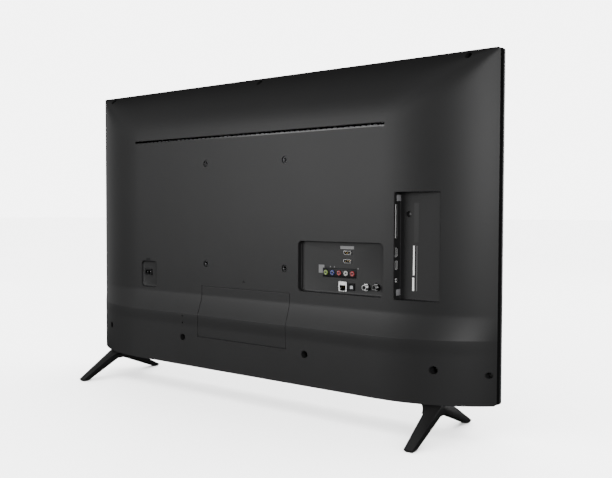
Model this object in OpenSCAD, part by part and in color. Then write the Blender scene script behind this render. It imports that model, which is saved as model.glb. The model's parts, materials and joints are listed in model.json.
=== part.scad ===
// Flat screen television on two V-shaped feet, seen mostly from its back.
// Millimetres. +Z is up, the screen faces -Y, and the origin is on the floor under the middle of the feet.

/* [Body] */
// Width over the front bezel
body_w = 977; // [940:1:1020]
// Height over the front bezel
body_h = 579; // [560:1:620]
// Floor to the underside of the body
stand_h = 56; // [48:1:75]
// Depth of the straight side, bezel and cover wall together
side_d = 23; // [21:0.5:28]
// Depth of the bezel's own side wall
bezel_d = 10; // [9:0.5:12]
// Rear edge of the straight side, measured from the middle of the feet
rim_y = -28; // [-34:1:-22]
// Wall thickness of the moulded shells
wall = 2.5; // [2:0.1:3]
// How far the rear cover is set in from the bezel all round
rim_step = 1; // [0.5:0.1:1.5]
// Corner radius of the bezel
corner_r = 6; // [4:0.5:9]

/* [Rear cover] */
// Depth of the flat back behind the straight side
plateau_d = 61; // [58:0.5:66]
// Extra depth of the lower panel over the flat back
lower_extra = 12; // [10:0.5:14]
// Extra depth of the crease lip over the lower panel
lip_extra = 1; // [0.5:0.25:2]
// Height of the crease above the underside
crease_h = 107; // [96:1:116]
// Height of the lip under the crease
lip_h = 3; // [2:0.5:5]
// Height of the sloped band above the crease
band_h = 39; // [30:1:46]
// Width of the flat part before the sides curve forward
flat_w = 600; // [580:5:640]
// Height of the curved top
top_run = 111; // [95:1:115]

/* [Vent slit] */
// Length of the long slit
slit_w = 622; // [560:2:660]
// Height of the slit
slit_h = 4.5; // [4:0.5:7]
// Depth of the groove in front of the vent holes
slit_groove = 1.2; // [0.8:0.1:1.5]
// Number of vent holes behind the slit
slit_holes = 26; // [20:1:32]
// Width of the rib between two vent holes
slit_rib = 3; // [2:0.5:5]

/* [Screen stack] */
// Bezel width beside the picture
margin_side = 18; // [16:0.5:22]
// Bezel width above the picture
margin_top = 19; // [16:0.5:22]
// Bezel width below the picture
margin_bottom = 30.6; // [26:0.1:34]
// Thickness of the bezel's front lip
lip_t = 1.8; // [1.4:0.1:2.4]
// Bevel round the front edge
bezel_bevel = 3.5; // [2:0.5:4.5]
// Depth of that bevel
bezel_bevel_d = 5; // [3:0.5:7]
// Thickness of the liquid crystal cell
lcd_t = 1.3; // [1:0.1:1.8]
// Thickness of the middle frame's web
web_t = 2; // [1.6:0.1:2.6]
// Thickness of the optical sheets together
sheet_t = 0.8; // [0.5:0.1:1.2]
// Thickness of the diffuser plate
plate_t = 1.5; // [1.2:0.1:2]

/* [Backlight pan] */
// Depth of the pan
pan_d = 36; // [34:0.5:38]
// Sheet steel thickness
pan_t = 0.8; // [0.6:0.1:1.2]
// How far each pan side slopes in from front to back
pan_slope = 34; // [30:1:38]
// Number of light bars
bar_count = 5; // [4:1:6]
// Lenses on one bar
lens_count = 8; // [6:1:10]
// Radius of one lens
lens_r = 8; // [6:0.5:9]

/* [Wall mount] */
// Hole spacing, both ways
vesa = 200; // [100, 200]
// Height of the pattern's middle above the underside
vesa_h = 310; // [300:1:316]
// Radius of the threaded bore
vesa_r = 3; // [2.5:0.5:4]
// Radius of the post's end
post_r = 5.5; // [5:0.5:7]
// Gap round the post in the cover
post_gap = 0.8; // [0.5:0.1:1.2]
// How far the post's end lies below the cover's surface
post_sink = 1.5; // [1:0.5:2.5]
// Depth of the threaded bore
post_bore = 18; // [14:1:24]

/* [Rear terminals] */
// Middle of the terminal recess across the body
av_x = -221; // [-230:1:-215]
// Middle of the terminal recess above the underside
av_h = 216; // [208:1:222]
// Width of the terminal recess
av_w = 178.5; // [172:0.5:182]
// Height of the terminal recess
av_tall = 92; // [86:1:94]
// Depth of the terminal recess
av_depth = 10; // [8:0.5:12]
// Corner radius of the recesses
recess_r = 8; // [5:0.5:10]
// How far a socket's face stands proud of the recess floor
socket_proud = 2; // [1.5:0.5:3]

/* [Side terminals] */
// Wall of the side recess that holds the sockets
side_x = -330; // [-340:1:-329]
// Width of the side recess from its socket wall outwards
side_w = 76; // [70:1:84]
// Middle of the side recess above the underside
side_zmid = 258; // [250:1:262]
// Height of the side recess
side_tall = 180; // [172:1:188]
// Depth of the side recess below the flat back
side_depth = 23; // [21:0.5:25]

/* [Power inlet] */
// Middle of the inlet recess across the body
inlet_x = 268; // [256:1:272]
// Middle of the inlet recess above the underside
inlet_h = 181; // [172:1:186]
// Width of the inlet recess
inlet_w = 47; // [42:1:50]
// Height of the inlet recess
inlet_tall = 56; // [50:1:62]
// Depth of the inlet recess
inlet_depth = 4; // [3:0.5:6]

/* [Access cover] */
// Width of the clip-in cover
access_w = 224; // [200:2:240]
// Lower edge above the underside
access_low = 63; // [56:1:66]
// Upper edge above the underside
access_high = 165; // [156:1:168]
// Thickness of the clip-in cover
access_t = 2.2; // [1.8:0.1:2.6]
// Gap all round the clip-in cover
access_gap = 0.5; // [0.4:0.1:0.8]

/* [Feet] */
// Place of each foot's middle along the curved side, as a share of it
foot_share = 0.54; // [0.48:0.01:0.58]
// Reach of each foot to the front and to the rear
foot_reach = 109; // [100:1:118]
// Width of a foot where it meets the body
foot_root_w = 24; // [20:1:28]
// Width of a foot at its tips
foot_tip_w = 15; // [12:1:18]
// Length of a foot's root along the body's depth
foot_root_l = 27; // [24:1:32]
// Height of the gap under the V
foot_gap_h = 38; // [32:1:42]
// Length of each tip on its pad
foot_tip_l = 15; // [12:1:18]
// Thickness of the rubber pads
pad_t = 1.5; // [1:0.5:2.5]
// Width and depth of the tenon that goes up into the body
tenon_w = 14; // [12:1:16]
// Height of the tenon inside the body
tenon_h = 70; // [64:1:80]

/* [Screws] */
// Radius of the screw wells in the cover
well_r = 5; // [4.5:0.25:6]
// Radius of the wells along the lower panel
low_well_r = 6.5; // [6:0.25:7]
// Radius of the screw heads
head_r = 3.8; // [3.2:0.1:4.2]
// Height of the screw heads
head_h = 2.6; // [2:0.1:3.2]
// Radius of the cover screws' shanks
shank_r = 1.5; // [1.2:0.1:2]
// Height of the row of screws along the lower panel
well_low_h = 58; // [50:1:60]
// Distance of the two middle screws from the body's middle
well_mid_x = 155; // [148:1:165]
// Distance of the side screws from the cover's edge
well_edge = 10; // [9.5:0.5:12]
// Distance of the two upper corner screws from the cover's side
well_top_in = 49; // [34:0.5:57]

/* [Button] */
// Length of the power button
button_w = 12; // [9:0.5:15]
// Depth of the power button
button_d = 6; // [4:0.5:7]
// How far the button stands below the cover
button_proud = 1.5; // [1.2:0.1:2.5]
// Travel of the power button
button_travel = 1; // [0.6:0.1:1.4]

/* [Boards] */
// Thickness of the circuit boards
board_t = 1.6; // [1.2:0.1:2]
// Height of the stand-offs under the boards
standoff_h = 14; // [12:0.5:15]

/* [Hidden] */
$fn = 64;
arc_fn = 240;
hull_fn = 120;
slip = 0.3;
over = 1;
thread_gap = 0.1;
corner_over = 0.1;

// Heights and depths of the body
z0 = stand_h;
front_y = rim_y - side_d;
seam_y = front_y + bezel_d;
skirt_d = side_d - bezel_d;
cover_w = body_w - 2 * rim_step;
cover_z = z0 + rim_step;
cover_top = z0 + body_h - rim_step;
top_start = cover_top - top_run;
lower_d = plateau_d + lower_extra;
crease_d = lower_d + lip_extra;
plateau_y = rim_y + plateau_d;
lower_y = rim_y + lower_d;
cover_in_w = cover_w - 2 * wall;
band_end = 0.2;
foot_x = flat_w / 2 + foot_share * (cover_w - flat_w) / 2;

// Picture and the layers behind it, front to back
screen_x = body_w / 2 - margin_side;
screen_z = [z0 + margin_bottom, z0 + body_h - margin_top];
lcd_edge = 5;
lcd_y = front_y + lip_t;
web_y = lcd_y + lcd_t;
sheet_y = web_y + web_t;
plate_y = sheet_y + sheet_t;
pan_y = plate_y + plate_t;
chassis_y = pan_y + pan_d;
pan_edge = 3;
pan_x = screen_x + pan_edge;
pan_z = [screen_z[0] - pan_edge, screen_z[1] + pan_edge];
floor_x = pan_x - pan_slope;
floor_slope_z = 18;
floor_z = [pan_z[0] + floor_slope_z, pan_z[1] - floor_slope_z];
frame_gap = 1;
frame_x = cover_in_w / 2 - frame_gap;
frame_z = [cover_z + wall + frame_gap, cover_top - wall - frame_gap];
frame_skirt = 9;
frame_wall = 1.6;
frame_notch = 40;

// Boards and the posts that carry them
board_y = chassis_y + standoff_h;
board_back = board_y + board_t;
standoff_r = 3.5;
standoff_in = 6;
standoff_bore = 8;
boss_h = 8;
boss_r = 4;
seat_y = chassis_y + boss_h;
seat_t = 3;
edge_seat_back = 13;
edge_seat_y = sheet_y + edge_seat_back;

// Recess floors
av_floor = plateau_y - av_depth;
av_face = av_floor + socket_proud;
side_floor = plateau_y - side_depth;
side_z = [z0 + side_zmid - side_tall / 2, z0 + side_zmid + side_tall / 2];
side_port_y = (side_floor + plateau_y) / 2 + 1;
inlet_floor = plateau_y - inlet_depth;

// Places of the sockets, from the middle of their recess
hdmi_at = [[-12, 27], [-12, 12]];
hdmi_size = [15.4, 6.4];
hdmi_hole = [14, 4.9];
rca_mid = 5.5;
rca_pitch = 14.1;
rca_h = -9.3;
rca_block = [5 * rca_pitch, 16];
rca_tube_r = 4.1;
rca_pin_r = 1.7;
rca_ring_r = 5;
rca_tube_l = 5;
rca_ring_t = 1.5;
lan_at = [-2.5, -32.5];
lan_size = [17, 17];
lan_hole = [12, 9];
opt_at = [-20.5, -32.5];
opt_size = [12.4, 12];
opt_hole = [9.6, 9];
opt_hole_l = 10.5;
shutter_t = 0.8;
shutter_pin_r = 0.5;
shutter_pin_gap = 0.06;
ant_at = [-51.5, -31];
sat_at = [-71.5, -30];
ant_r = 4.7;
ant_l = 10;
ant_nut_r = 6.5;
ant_nut_l = 3;
card_dz = 41;
card_hole = [54.6, 5.4];
side_hdmi_dz = -11;
usb_dz = -32.5;
usb_hole = [13.2, 5.6];
audio_dz = -58;
audio_r = 1.8;
side_rim = 1.6;
side_deep = 16;
card_deep = 62;
pad_dz = [80, -78.5];
socket_gap = 0.4;

// Sockets' places in the row
function av_pos(at) = [av_x + at[0], z0 + av_h + at[1]];
opt_pos = av_pos(opt_at);
rca_x = [for (i = [0:4]) av_x + rca_mid + (2 - i) * rca_pitch];
rca_z = z0 + av_h + rca_h;
side_mid = z0 + side_zmid;

// Screws: each place is [x, z]
low_wells = [for (s = [-1, 1]) [s * well_mid_x, z0 + well_low_h]];
side_well_dx = 16;
side_well_up = 53;
side_well = [side_x - side_well_dx, z0 + side_zmid + side_well_up];
deep_wells = concat(low_wells, [side_well]);
edge_well_x = cover_w / 2 - well_edge;
edge_well_h = 51.5;
edge_well_drop = 8.5;
edge_well_top = cover_top - wall - edge_well_drop;
edge_wells = concat(
    [for (s = [-1, 1]) [s * edge_well_x, z0 + edge_well_h]],
    [for (s = [-1, 0, 1]) [s * (cover_w / 2 - well_top_in), edge_well_top]]);
edge_boss_r = 3.5;
foot_wells = [for (s = [-1, 1]) [s * foot_x, z0 + well_low_h]];
foot_shank_r = 2;
bracket_t = 3;
tenon_y = chassis_y + bracket_t;
tenon_back = tenon_y + tenon_w;

// Boards' outlines: [[x low, x high], [z low, z high]]
main_gap = 1.5;
main_in = 4;
main_edge = 2;
main_box = [[side_x + wall + main_gap, av_x + av_w / 2 - main_in], side_z + main_edge * [1, -1]];
power_in = 145;
power_out = 48;
power_low = 32;
power_high = 170;
power_box = [from(inlet_x, [-power_in, power_out]), from(z0 + inlet_h, [-power_low, power_high])];
tcon_w = 150;
tcon_low = 60;
tcon_h = 42;
tcon_box = [tcon_w / 2 * [-1, 1], from(z0 + tcon_low, [0, tcon_h])];
wifi_gap = 20;
wifi_w = 50;
wifi_low = 86;
wifi_h = 24;
wifi_box = [from(well_mid_x + wifi_gap, [0, wifi_w]), from(z0 + wifi_low, [0, wifi_h])];
boards = [main_box, power_box, tcon_box, wifi_box];

// Sizes inside the bottom of the body
speaker_gap = 5.5;
speaker_w = 130;
speaker_x = from(mid([flat_w / 2, foot_x]) - speaker_gap, [-speaker_w, 0]);
speaker_h = 40;
speaker_z = from(cover_z + wall, [0, speaker_h]);
speaker_y_gap = 3;
speaker_d = 33;
speaker_y = from(chassis_y + speaker_y_gap, [0, speaker_d]);
grille_slots = 9;
grille_slot = 1.8;
grille_in = 12;
key_rise = 11;
key_z = cover_z + key_rise;
button_flange = 1.2;
button_y = (seam_y + rim_y) / 2;

// Helpers: a box between two corners, and shapes drawn along the row's axes
module span(x, y, z) {
    translate([x[0], y[0], z[0]]) cube([x[1] - x[0], y[1] - y[0], z[1] - z[0]]);
}

module rod_y(at, r, y) {
    translate([at[0], y[0], at[1]]) rotate([-90, 0, 0]) cylinder(r = r, h = y[1] - y[0]);
}

module rod_x(at, r, x) {
    translate([x[0], at[0], at[1]]) rotate([0, 90, 0]) cylinder(r = r, h = x[1] - x[0]);
}

module along_y(y) {
    translate([0, y[1], 0]) rotate([90, 0, 0]) linear_extrude(y[1] - y[0]) children();
}

module along_x(x) {
    translate([x[0], 0, 0]) rotate([90, 0, 90]) linear_extrude(x[1] - x[0]) children();
}

module round_rect(w, h, r) {
    square([w - 2 * r, h], center = true);
    square([w, h - 2 * r], center = true);
    for (x = [-1, 1], y = [-1, 1])
        translate([x * (w / 2 - r), y * (h / 2 - r)]) circle(r);
}

module rect_at(at, size) {
    translate([at[0], at[1]]) square(size, center = true);
}

function arc_r(run, drop) = (run * run + drop * drop) / (2 * drop);
function mid(pair) = (pair[0] + pair[1]) / 2;
function width(pair) = pair[1] - pair[0];
function about(centre, half) = [centre - half, centre + half];
function from(start, pair) = [start + pair[0], start + pair[1]];
function cover_corner(inset) = max(corner_r - rim_step - inset, 0.5);

// Plan of the cover at one depth of bulge, drawn inset by a wall, open at the front by extra
module plan(bulge, inset, extra, facets) {
    run = (cover_w - flat_w) / 2;
    r = arc_r(run, bulge);
    start = rim_y - skirt_d - extra;
    translate([-flat_w / 2, start]) square([flat_w, rim_y + bulge - inset - start]);
    for (side = [0, 1]) mirror([side, 0]) intersection() {
        translate([flat_w / 2, rim_y + bulge - r]) circle(r - inset, $fn = facets);
        translate([flat_w / 2 - over, start]) square([run - inset + over, rim_y + bulge - start]);
    }
}

// Side view of the flat back and the curved top
module side_view(inset, extra) {
    r = arc_r(top_run, plateau_d);
    start = rim_y - skirt_d - extra;
    translate([start, cover_z + inset])
        square([plateau_y - inset - start, top_start - cover_z - inset]);
    intersection() {
        translate([plateau_y - r, top_start]) circle(r - inset, $fn = arc_fn);
        translate([start, top_start - over])
            square([plateau_y - start, top_run - inset + over]);
    }
}

// Outside of the rear cover as a closed form, or its hollow when inset
module cover_form(inset, extra) {
    intersection() {
        along_y([seam_y - extra, far_y]) translate([0, mid([cover_z, cover_top])])
            round_rect(cover_w - 2 * inset + corner_over, cover_top - cover_z - 2 * inset + corner_over,
                cover_corner(inset));
        union() {
            intersection() {
                translate([0, 0, cover_z + inset])
                    linear_extrude(cover_top - cover_z - 2 * inset) plan(plateau_d, inset, extra, arc_fn);
                along_x([-cover_w / 2, cover_w / 2]) side_view(inset, extra);
            }
            translate([0, 0, cover_z + inset])
                linear_extrude(z0 + crease_h - lip_h - cover_z - inset) plan(lower_d, inset, extra, arc_fn);
            hull() {
                translate([0, 0, z0 + crease_h - lip_h])
                    linear_extrude(lip_h) plan(crease_d, inset, 0, hull_fn);
                translate([0, 0, z0 + crease_h + band_h])
                    linear_extrude(band_end) plan(plateau_d, inset, 0, hull_fn);
            }
        }
    }
}

// The back's outline up the middle of the body, moved forward by a shift, between two heights
function back_line(shift, low, high) = [
    [lower_y - shift, low], [lower_y - shift, z0 + crease_h - lip_h],
    [lower_y + lip_extra - shift, z0 + crease_h - lip_h], [lower_y + lip_extra - shift, z0 + crease_h],
    [plateau_y - shift, z0 + crease_h + band_h], [plateau_y - shift, high]];

module back_strip(outer, inner, low, high) {
    line = back_line(inner, low, high);
    polygon(concat(back_line(outer, low, high), [for (i = [len(line) - 1:-1:0]) line[i]]));
}

access_z = [z0 + access_low, z0 + access_high];
peg_inset = [14, 9];
peg_size = [8, 3];
peg_l = 5;
module access_pegs(grow, long) {
    for (s = [-1, 1], z = [access_z[0] + peg_inset[1], access_z[1] - peg_inset[1]]) {
        y = (z < z0 + crease_h ? lower_y : plateau_y) - access_t;
        x = s * (access_w / 2 - peg_inset[0]);
        span([x - peg_size[0] / 2 - grow, x + peg_size[0] / 2 + grow], [y - peg_l - long, y],
            [z - peg_size[1] / 2 - grow, z + peg_size[1] / 2 + grow]);
    }
}

// Places of the slots and holes through the rear terminal floor, as [x, z] with a size
module av_cuts() {
    for (at = hdmi_at) rect_at(av_pos(at), hdmi_size + 2 * [socket_gap, socket_gap]);
    rect_at([mid([rca_x[0], rca_x[4]]), rca_z], rca_block + 2 * [socket_gap, socket_gap]);
    rect_at(av_pos(lan_at), lan_size + 2 * [socket_gap, socket_gap]);
    rect_at(opt_pos, opt_size + 2 * [socket_gap, socket_gap]);
    for (at = [ant_at, sat_at])
        translate(av_pos(at)) circle(ant_nut_r + socket_gap);
}

inlet_shift = [6, 3.5];
inlet_at = [inlet_x, z0 + inlet_h] + inlet_shift;
inlet_size = [22, 13];
inlet_hole = [16, 9];

// Half height of each side socket along the wall, with its opening across it
side_ports = [[card_dz, card_hole], [side_hdmi_dz, hdmi_hole], [usb_dz, usb_hole]];

module side_cuts() {
    for (p = side_ports)
        rect_at([side_port_y, side_mid + p[0]], [p[1][1], p[1][0]] + 2 * (side_rim + socket_gap) * [1, 1]);
    translate([side_port_y, side_mid + audio_dz]) circle(audio_r + side_rim + socket_gap);
}

module wells(places, r, y) {
    for (at = places) rod_y(at, r, y);
}

well_wall = 2;
small_hole_r = 1.8;
small_hole_up = [30, 44];
small_holes = [for (dz = small_hole_up) [well_mid_x, z0 + well_low_h + dz]];
far_y = rim_y + crease_d + over;

module rear_cover() {
    av_outer = [av_w + 2 * wall, av_tall + 2 * wall];
    inlet_outer = [inlet_w + 2 * wall, inlet_tall + 2 * wall];
    color("#3a3a3b") difference() {
        union() {
            difference() {
                cover_form(0, 0);
                cover_form(wall, over);
            }
            intersection() {
                cover_form(0, 0);
                union() {
                    along_y([av_floor - wall, plateau_y]) translate([av_x, z0 + av_h])
                        round_rect(av_outer[0], av_outer[1], recess_r + wall);
                    along_y([inlet_floor - wall, plateau_y]) translate([inlet_x, z0 + inlet_h])
                        round_rect(inlet_outer[0], inlet_outer[1], recess_r + wall);
                    span([side_x - side_w - wall, side_x + wall], [side_floor - wall, plateau_y],
                        [side_z[0] - wall, side_z[1] + wall]);
                    along_x([-access_w / 2 - wall, access_w / 2 + wall])
                        back_strip(0, access_t + slip + wall, access_z[0] - wall, access_z[1] + wall);
                    wells(low_wells, low_well_r + well_wall, [seat_y, far_y]);
                    wells([side_well], well_r + well_wall, [seat_y, far_y]);
                    wells(edge_wells, well_r + well_wall, [edge_seat_y, far_y]);
                    wells(foot_wells, low_well_r + well_wall, [tenon_back + slip, far_y]);
                }
            }
        }
        along_y([av_floor, plateau_y + over]) translate([av_x, z0 + av_h])
            round_rect(av_w, av_tall, recess_r);
        along_y([av_floor - wall - over, av_floor + over]) av_cuts();
        along_y([inlet_floor, plateau_y + over]) translate([inlet_x, z0 + inlet_h])
            round_rect(inlet_w, inlet_tall, recess_r);
        along_y([inlet_floor - wall - over, inlet_floor + over])
            rect_at(inlet_at, inlet_size + 2 * [socket_gap, socket_gap]);
        span([side_x - side_w, side_x], [side_floor, plateau_y + over], side_z);
        along_x([side_x - over, side_x + wall + over]) side_cuts();
        along_x([-access_w / 2, access_w / 2])
            back_strip(-over, access_t + slip, access_z[0], access_z[1]);
        access_pegs(socket_gap, over);
        wells(low_wells, low_well_r, [seat_y + seat_t, far_y]);
        wells([side_well], well_r, [seat_y + seat_t, far_y]);
        wells(edge_wells, well_r, [edge_seat_y + seat_t, far_y]);
        wells(concat(deep_wells, edge_wells), shank_r + slip, [edge_seat_y - over, seat_y + seat_t + over]);
        wells(foot_wells, low_well_r, [tenon_back, far_y]);
        vesa_grid() rod_y([0, 0], post_r + post_gap, [plateau_y - wall - over, plateau_y + over]);
        vent_slit();
        speaker_grilles();
        for (at = small_holes) rod_y(at, small_hole_r, [plateau_y - wall - over, far_y]);
        span(about(0, button_w / 2 + slip), about(button_y, button_d / 2 + slip),
            [cover_z - over, cover_z + wall + over]);
        for (s = [-1, 1])
            span(about(s * foot_x, tenon_w / 2 + socket_gap), [tenon_y, tenon_back] + socket_gap * [-1, 1],
                [cover_z - over, cover_z + wall + over]);
    }
}

module vesa_grid() {
    for (x = [-1, 1], z = [-1, 1])
        translate([x * vesa / 2, 0, z0 + vesa_h + z * vesa / 2]) children();
}

slit_gap = 2;
module vent_slit() {
    z = from(top_start - slit_gap, [-slit_h, 0]);
    pitch = slit_w / slit_holes;
    span(slit_w / 2 * [-1, 1], [plateau_y - slit_groove, plateau_y + over], z);
    for (i = [0:slit_holes - 1])
        span(from(pitch * i - slit_w / 2, [slit_rib / 2, pitch - slit_rib / 2]),
            [plateau_y - wall - over, plateau_y], z);
}

module speaker_grilles() {
    pitch = width(speaker_y) / (grille_slots + 1);
    for (s = [0, 1]) mirror([s, 0, 0])
        for (i = [1:grille_slots])
            span(speaker_x + grille_in * [1, -1], about(speaker_y[0] + pitch * i, grille_slot / 2),
                [cover_z - over, cover_z + wall + over]);
}

module access_cover() {
    x = (access_w / 2 - access_gap) * [-1, 1];
    color("#363637") {
        along_x(x) back_strip(0, access_t, access_z[0] + access_gap, access_z[1] - access_gap);
        access_pegs(0, 0);
    }
}

// A block whose front edges are bevelled all round
module bevel_block(x, y, z, bevel, deep) {
    intersection() {
        translate([0, 0, z[0]]) linear_extrude(width(z)) polygon([
            [x[0] + bevel, y[0]], [x[1] - bevel, y[0]], [x[1], y[0] + deep], [x[1], y[1]],
            [x[0], y[1]], [x[0], y[0] + deep]]);
        along_x(x) polygon([
            [y[0], z[0] + bevel], [y[0] + deep, z[0]], [y[1], z[0]], [y[1], z[1]],
            [y[0] + deep, z[1]], [y[0], z[1] - bevel]]);
    }
}

ir_size = [22, 6];
ir_z = key_z + 6;
module front_bezel() {
    x = body_w / 2 * [-1, 1];
    z = [z0, z0 + body_h];
    color("#2b2b2d") difference() {
        intersection() {
            bevel_block(x, [front_y, seam_y], z, bezel_bevel, bezel_bevel_d);
            along_y([front_y - over, seam_y + over]) translate([0, mid(z)]) round_rect(body_w, body_h, corner_r);
        }
        span([x[0] + wall + bezel_bevel / 2, x[1] - wall - bezel_bevel / 2], [lcd_y, seam_y + over],
            [z[0] + wall + bezel_bevel / 2, z[1] - wall - bezel_bevel / 2]);
        span(screen_x * [-1, 1], [front_y - over, lcd_y + over], screen_z);
        along_y([front_y - over, lcd_y + over]) rect_at([0, ir_z], ir_size);
    }
}

module lcd_panel() {
    color("#15171a") span((screen_x + lcd_edge) * [-1, 1], [lcd_y, web_y],
        screen_z + lcd_edge * [-1, 1]);
}

module middle_frame() {
    color("#1f1f20") {
        difference() {
            along_y([web_y, sheet_y + frame_skirt]) translate([0, mid(frame_z)])
                round_rect(2 * frame_x, width(frame_z), cover_corner(wall + frame_gap));
            span((frame_x - frame_wall) * [-1, 1], [sheet_y, sheet_y + frame_skirt + over],
                frame_z + frame_wall * [1, -1]);
            span((screen_x + over) * [-1, 1], [web_y - over, sheet_y + over], screen_z + over * [-1, 1]);
            span((button_w + frame_notch) / 2 * [-1, 1], [web_y - over, sheet_y + frame_skirt + over],
                [frame_z[0] - over, pan_z[0] - web_t]);
        }
        difference() {
            wells(edge_wells, edge_boss_r, [sheet_y - web_t / 2, edge_seat_y]);
            wells(edge_wells, shank_r + thread_gap, [edge_seat_y - 9, edge_seat_y + over]);
        }
    }
}

module layer(y, edge) {
    span((screen_x + edge) * [-1, 1], y, screen_z + edge * [-1, 1]);
}

module optical_sheets() {
    color("#e6e8ea") layer([sheet_y, plate_y], pan_edge);
}

module diffuser_plate() {
    color("#f2f2f0") layer([plate_y, pan_y], pan_edge);
}

// The pan's form: wide at the front and narrower at its floor
module pan_form(inset, y) {
    intersection() {
        translate([0, 0, pan_z[0]]) linear_extrude(width(pan_z)) polygon([
            [-pan_x + inset, y[0]], [pan_x - inset, y[0]], [floor_x - inset, y[1]], [-floor_x + inset, y[1]]]);
        along_x(pan_x * [-1, 1]) polygon([
            [y[0], pan_z[0] + inset], [y[0], pan_z[1] - inset],
            [y[1], floor_z[1] - inset], [y[1], floor_z[0] + inset]]);
    }
}

module back_chassis() {
    color("#b9bcbe") {
        difference() {
            pan_form(0, [pan_y, chassis_y]);
            intersection() {
                pan_form(pan_t, [pan_y, chassis_y]);
                span(pan_x * [-1, 1], [pan_y - over, chassis_y - pan_t], pan_z);
            }
        }
        difference() {
            wells(deep_wells, boss_r, [chassis_y - pan_t / 2, seat_y]);
            wells(deep_wells, shank_r + thread_gap, [chassis_y + over, seat_y + over]);
        }
    }
}

bar_t = 1;
bar_w = 14;
reflector_t = 0.5;
bar_back = chassis_y - pan_t;
bar_in = 12;
bar_x = floor_x - bar_in;
lens_pitch = 2 * bar_x / lens_count;
lens_x = [for (i = [0:lens_count - 1]) -bar_x + lens_pitch * (i + 0.5)];
bar_z = [for (i = [0:bar_count - 1]) floor_z[0] + width(floor_z) * (i + 0.5) / bar_count];

module led_bars() {
    color("#f4f6f4") for (z = bar_z)
        span(bar_x * [-1, 1], [bar_back - bar_t, bar_back], about(z, bar_w / 2));
}

module led_lenses() {
    color("#dfe9ee") for (x = lens_x, z = bar_z)
        translate([x, bar_back - bar_t, z]) rotate([90, 0, 0]) rotate_extrude()
            polygon([[0, 0], [lens_r, 0], [lens_r, 1.5], [lens_r * 0.75, 4], [lens_r * 0.3, 5], [0, 4.2]]);
}

module reflector_sheet() {
    color("#fafafa") difference() {
        span((floor_x - 2) * [-1, 1], from(bar_back - bar_t, [-reflector_t, 0]), floor_z + 2 * [1, -1]);
        for (x = lens_x, z = bar_z)
            rod_y([x, z], lens_r + slip, from(bar_back - bar_t, [-reflector_t - over, over]));
    }
}

post_flange_r = 11;
post_flange_t = 2;
module vesa_posts() {
    tip = plateau_y - post_sink;
    color("#a9abad") vesa_grid() difference() {
        union() {
            rod_y([0, 0], post_flange_r, [chassis_y, chassis_y + post_flange_t]);
            rod_y([0, 0], post_r, [chassis_y, tip]);
        }
        rod_y([0, 0], vesa_r, [tip - post_bore, tip + over]);
    }
}

module at_board_corners() {
    for (b = boards, x = [b[0][0] + standoff_in, b[0][1] - standoff_in],
            z = [b[1][0] + standoff_in, b[1][1] - standoff_in])
        translate([x, 0, z]) children();
}

module board_standoffs() {
    color("#c2b280") at_board_corners() difference() {
        rod_y([0, 0], standoff_r, [chassis_y, board_y]);
        rod_y([0, 0], shank_r + thread_gap, [board_y - standoff_bore, board_y + over]);
    }
}

board_head_r = 3;
board_head_h = 1.8;
board_screw_l = 6;
module board_screws() {
    color("#8f9193") at_board_corners() {
        rod_y([0, 0], board_head_r, [board_back, board_back + board_head_h]);
        rod_y([0, 0], shank_r, from(board_back, [-board_screw_l, board_head_h / 2]));
    }
}

module board(box, tint) {
    color(tint) difference() {
        span(box[0], [board_y, board_back], box[1]);
        for (x = [box[0][0] + standoff_in, box[0][1] - standoff_in],
                z = [box[1][0] + standoff_in, box[1][1] - standoff_in])
            rod_y([x, z], shank_r + thread_gap, [board_y - over, board_back + over]);
    }
}

module main_board() {
    board(main_box, "#1f5a36");
}

module power_board() {
    board(power_box, "#8a6a3a");
}

module tcon_board() {
    board(tcon_box, "#1f5a36");
}

module wifi_module() {
    board(wifi_box, "#1d4f6a");
}

sink_w = 46;
sink_h = 52;
sink_fins = 9;
sink_fin_t = 1.4;
sink_base = 3;
sink_tall = 16;
sink_in = 46;
sink_drop = 40;
sink_at = [main_box[0][1] - sink_in, main_box[1][1] - sink_drop];
module heat_sink() {
    x = about(sink_at[0], sink_w / 2);
    z = about(sink_at[1], sink_h / 2);
    pitch = (sink_w - sink_fin_t) / (sink_fins - 1);
    color("#6f7274") {
        span(x, from(board_back, [0, sink_base]), z);
        for (i = [0:sink_fins - 1])
            span(from(x[0] + pitch * i, [0, sink_fin_t]), from(board_back, [0, sink_tall]), z);
    }
}

transformer_size = [34, 18, 30];
transformer_in = 20;
transformer_up = [70, 120];
module transformers() {
    color("#d8c648") for (dz = transformer_up)
        span(about(mid(power_box[0]) - transformer_in, transformer_size[0] / 2), from(board_back, [0, transformer_size[1]]),
            about(power_box[1][0] + dz, transformer_size[2] / 2));
}

capacitor_r = 9;
capacitor_l = 20;
capacitor_in = 24;
capacitor_up = 90;
capacitor_pitch = 26;
module capacitors() {
    color("#23272e") for (i = [0:2])
        rod_y([power_box[0][1] - capacitor_in, power_box[1][0] + capacitor_up + capacitor_pitch * i], capacitor_r,
            from(board_back, [0, capacitor_l]));
}

// A socket facing +Y from a board: a block with a rectangular mouth
module rear_socket(at, size, hole, face, hole_l) {
    along_y([board_back, face - hole_l]) rect_at(at, size);
    along_y([face - hole_l, face]) difference() {
        rect_at(at, size);
        rect_at(at, hole);
    }
}

inlet_pin_r = 1.2;
inlet_pin_dx = 4.3;
inlet_hole_l = 12;
module power_inlet() {
    face = inlet_floor + socket_proud;
    color("#101011") {
        rear_socket(inlet_at, inlet_size, inlet_hole, face, inlet_hole_l);
        for (s = [-1, 1])
            rod_y(inlet_at + [s * inlet_pin_dx, 0], inlet_pin_r, [face - inlet_hole_l - over, face - 2]);
    }
}

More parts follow.
